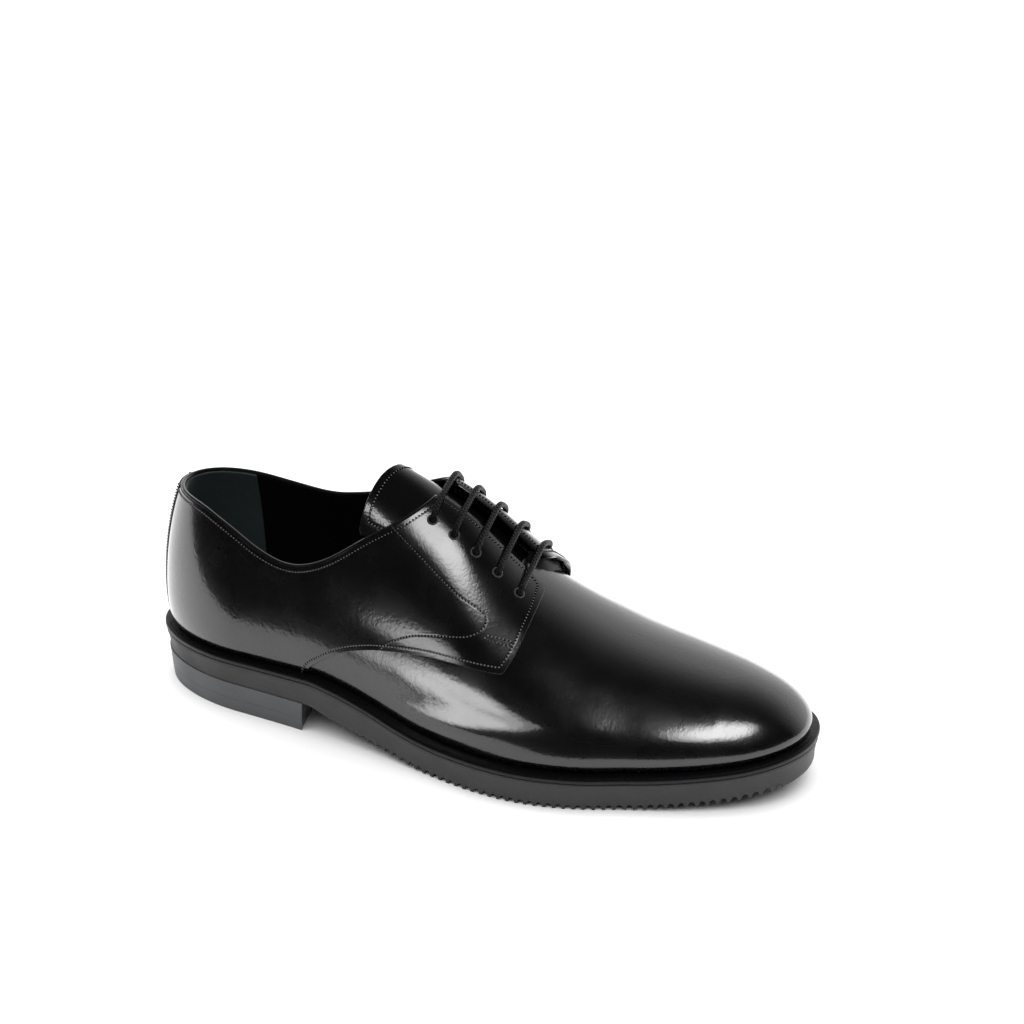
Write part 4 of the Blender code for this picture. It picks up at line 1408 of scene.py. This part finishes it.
sole_x = outline(0, station_shares)[:, 0]
top = sole_top(sole_x)
ground = underside(sole_x) + depths
wall_foot = underside(sole_x) + TREAD_DEPTH
rib_top = top - RIB_DROP
rib_foot = rib_top - RIB_HEIGHT
wall = RIB_STEP + SOLE_TAPER
sole_rings = [
    (wall + 0.6 * MM, ground),
    (wall + 0.15 * MM, ground + 0.12 * MM),
    (wall, ground + 0.45 * MM),
    (wall - 0.05 * MM, wall_foot + 0.7 * MM),
    (wall - 0.15 * MM, wall_foot + 1.5 * MM),
    (RIB_STEP, rib_foot - 0.25 * MM),
    (RIB_STEP - 0.1 * MM, rib_foot),
    (0.05 * MM, rib_foot + 0.15 * MM),
    (0, rib_foot + 0.4 * MM),
    (0, rib_top - 0.4 * MM),
    (0.05 * MM, rib_top - 0.15 * MM),
    (RIB_STEP - 0.1 * MM, rib_top),
    (RIB_STEP, top - 0.1 * MM),
    (RIB_STEP + 0.4 * MM, top),
]
sole_loops = [np.column_stack([outline(inset, station_shares), height])
              for inset, height in sole_rings]


def capped(loops, sides):
    """Rings joined and closed at both ends by strips from the outer side to the inner."""
    count = len(loops[0])
    faces = joined_rings(len(loops), count, wrap=False)
    for level, flip in ((0, True), ((len(loops) - 1) * count, False)):
        for i in range(sides):
            inner = (level + (count - i - 1) % count, level + (count - i) % count)
            corners = tuple(dict.fromkeys((level + i, level + i + 1, *inner)))
            faces.append(corners[::-1] if flip else corners)
    return faces


outsole = make_piece("outsole_rubber", np.concatenate(sole_loops),
                     capped(sole_loops, len(stations) - 1), sole_rubber, "sole_rubber")
outsole.data.set_sharp_from_angle(angle=radians(50))
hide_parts("outsole")
print("Outsole:", len(outsole.data.polygons), "faces")


# %% Heel block and top piece
def heel_loop(inset, height):
    """A ring of the heel: the back of the outline, closed by a hollow breast."""
    breast = x_at(HEEL_LENGTH / LENGTH) - inset
    loop = outline(inset, even_shares(OUTLINE_STEPS))
    outer = loop[:OUTLINE_STEPS + 1]
    inner = np.concatenate([loop[:1], loop[:OUTLINE_STEPS - 1:-1]])
    back = loop[:, 0].min()
    x = back + (breast - back) * (1 - np.cos(np.linspace(0, pi / 2, 60)))
    x = np.minimum(x, breast)
    front_half = np.argmax(outer[:, 0])
    outer_y = np.interp(x, outer[:front_half, 0], outer[:front_half, 1])
    order = np.argsort(inner[:, 0])
    inner_y = np.interp(x, inner[order, 0], inner[order, 1])
    across = np.linspace(0, 1, 24)[1:-1]
    hollow = BREAST_HOLLOW * (1 - (2 * across - 1) ** 2)
    front = np.column_stack([breast - hollow, outer_y[-1] + across * (inner_y[-1] - outer_y[-1])])
    flat = np.concatenate([np.column_stack([x, outer_y]), front,
                           np.column_stack([x, inner_y])[::-1][:-1]])
    return np.column_stack([flat, np.full(len(flat), height)])


def heel_part(name, node_name, low, high, low_inset, high_inset, slot):
    """A piece of the heel with slightly rounded edges."""
    soft = 0.06 * MM
    half = 0.04 * MM
    rings = [(low_inset + soft, low), (low_inset + half, low + half), (low_inset, low + soft),
             (high_inset, high - soft), (high_inset + half, high - half), (high_inset + soft, high)]
    loops = [heel_loop(inset, height) for inset, height in rings]
    count = len(loops[0])
    faces = joined_rings(len(loops), count, wrap=False)
    faces.append(tuple(range(count))[::-1])
    faces.append(tuple(range((len(loops) - 1) * count, len(loops) * count)))
    piece = make_piece(name, np.concatenate(loops), faces, heel_rubber, slot)
    piece.data.set_sharp_from_angle(angle=radians(50))
    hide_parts(node_name)


foot_inset = HEEL_INSET + HEEL_TAPER
split_inset = foot_inset - HEEL_TAPER * TOP_PIECE_THICKNESS / HEEL_HEIGHT
heel_part("heel_rubber_block", "heel_block", TOP_PIECE_THICKNESS + 0.02 * MM,
          HEEL_HEIGHT + 0.1 * MM, split_inset, HEEL_INSET, "heel_rubber")
heel_part("top_piece", "heel_top_piece", 0, TOP_PIECE_THICKNESS, foot_inset, split_inset,
          "top_piece_rubber")

# %% Insole
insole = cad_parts["insole"]
insole.data.materials.clear()
insole.data.materials.append(smooth_lining)

# %% [markdown]
# ## Camera, floor and lights
#
# The shoe stands on a white studio floor under one large soft lamp. Polished black leather is seen
# almost only by what it mirrors, so smaller soft lamps are placed one by one, and each one shows
# in one panel only. The floor in front of the shoe isn't mirrored: the leather is darkest there.

# %% Floor and world
floor_finish, _, floor_shader = new_material("white_floor")
floor_shader.inputs["Base Color"].default_value = (0.93, 0.93, 0.93, 1)
floor_shader.inputs["Roughness"].default_value = 0.9
PAPER_EDGE = -0.105


def floor_part(name, front, back):
    """A part of the floor between two lines across the view."""
    mesh = bpy.data.meshes.new(name)
    mesh.from_pydata([(-6, front, 0), (6, front, 0), (6, back, 0), (-6, back, 0)], [], [(0, 1, 2, 3)])
    mesh.materials.append(floor_finish)
    part = bpy.data.objects.new(name, mesh)
    bpy.context.collection.objects.link(part)
    part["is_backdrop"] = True
    return part


floor_part("floor", PAPER_EDGE, 6)
apron = floor_part("floor_in_front", -6, PAPER_EDGE)
apron.visible_glossy = False

world = bpy.data.worlds.new("studio")
bpy.context.scene.world = world
world.use_nodes = True
sky = world.node_tree
direction = node(sky, "ShaderNodeTexCoord")
axes = node(sky, "ShaderNodeSeparateXYZ")
sky.links.new(direction.outputs["Generated"], axes.inputs["Vector"])
behind = remap(sky, axes.outputs["Y"], 0.1, 0.9, 0.0, 1.0)
low = remap(sky, axes.outputs["Z"], 0.30, 1.15, 1.0, 0.0)
glow = math(sky, "ADD", math(sky, "MULTIPLY", behind, low), 0.02)
sky.links.new(glow, sky.nodes["Background"].inputs["Strength"])
sky.nodes["Background"].inputs["Color"].default_value = (1, 1, 1, 1)
bpy.context.scene.view_settings.view_transform = "Standard"

# %% Camera
camera_data = bpy.data.cameras.new("camera")
camera_data.lens = 87.97
camera_data.sensor_width = 36
camera_data.clip_start = 0.05
camera_data.clip_end = 50
camera = bpy.data.objects.new("camera", camera_data)
bpy.context.collection.objects.link(camera)
camera.location = (0.42926, -0.88913, 0.53814)
camera.rotation_mode = "QUATERNION"
camera.rotation_quaternion = Vector((0.29507, -0.85693, 0.42262)).to_track_quat("Z", "Y")
bpy.context.scene.camera = camera


# %% Lamps
def lamp(name, place, aim, width, height, power, turn=0, mirrored=True, only=None):
    """An oval lamp that points at a place, and may show in one piece only."""
    data = bpy.data.lights.new(name, "AREA")
    data.shape = "ELLIPSE"
    data.size = width
    data.size_y = height
    data.energy = power
    made = bpy.data.objects.new(name, data)
    bpy.context.collection.objects.link(made)
    made.location = place
    made.rotation_mode = "QUATERNION"
    pointing = (Vector(place) - Vector(aim)).to_track_quat("Z", "Y")
    made.rotation_quaternion = pointing @ Quaternion((0, 0, 1), radians(turn))
    made.visible_glossy = mirrored
    made.visible_camera = False
    if only:
        lit = bpy.data.collections.new(name + "_lights")
        lit.objects.link(only)
        made.light_linking.receiver_collection = lit
        made.visible_diffuse = False


def soft_lamp(name, place, aim, width, height, turn, power, only):
    """Three lamps inside each other, so that what is mirrored of them fades out at its edges."""
    ahead = (Vector(aim) - Vector(place)).normalized()
    for number, share in enumerate((1.0, 0.8, 0.6)):
        lamp("%s_%d" % (name, number + 1), Vector(place) + ahead * number * 2 * MM, aim,
             width * share, height * share, power * share ** 2 / 3, turn, only=only)


lamp("floor_light", (0.1, 0.0, 2.6), (0.1, 0, 0.05), 7, 7, 310, mirrored=False)
# Name, place, aim, width, height, turn, power and the panel that mirrors it
for row in (
        ("facing_box", (0.1645, -0.2901, 0.5076), (0.11, -0.03, 0.09), 0.42, 0.19, 42, 2.1, quarters),
        ("toe_box", (0.319, -0.145, 0.185), (0.228, -0.035, 0.034), 0.23, 0.095, 43, 0.78, vamp),
        ("side_card", (0.066, -0.125, 0.024), (0.066, 0, 0.024), 0.19, 0.034, 16, 0.125, vamp),
        ("seam_card", (0.038, -0.125, 0.052), (0.038, 0, 0.052), 0.080, 0.020, 25, 0.022, quarters),
        ("tongue_box", (-0.077, -0.525, 0.402), (0.075, -0.028, 0.102), 0.10, 0.08, 0, 0.19, tongue)):
    soft_lamp(*row)

# %% Sizes before and after
size_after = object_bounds()
print("Size before and after:", [[round(n / MM, 1) for n in c] for c in (*size_before, *size_after)])
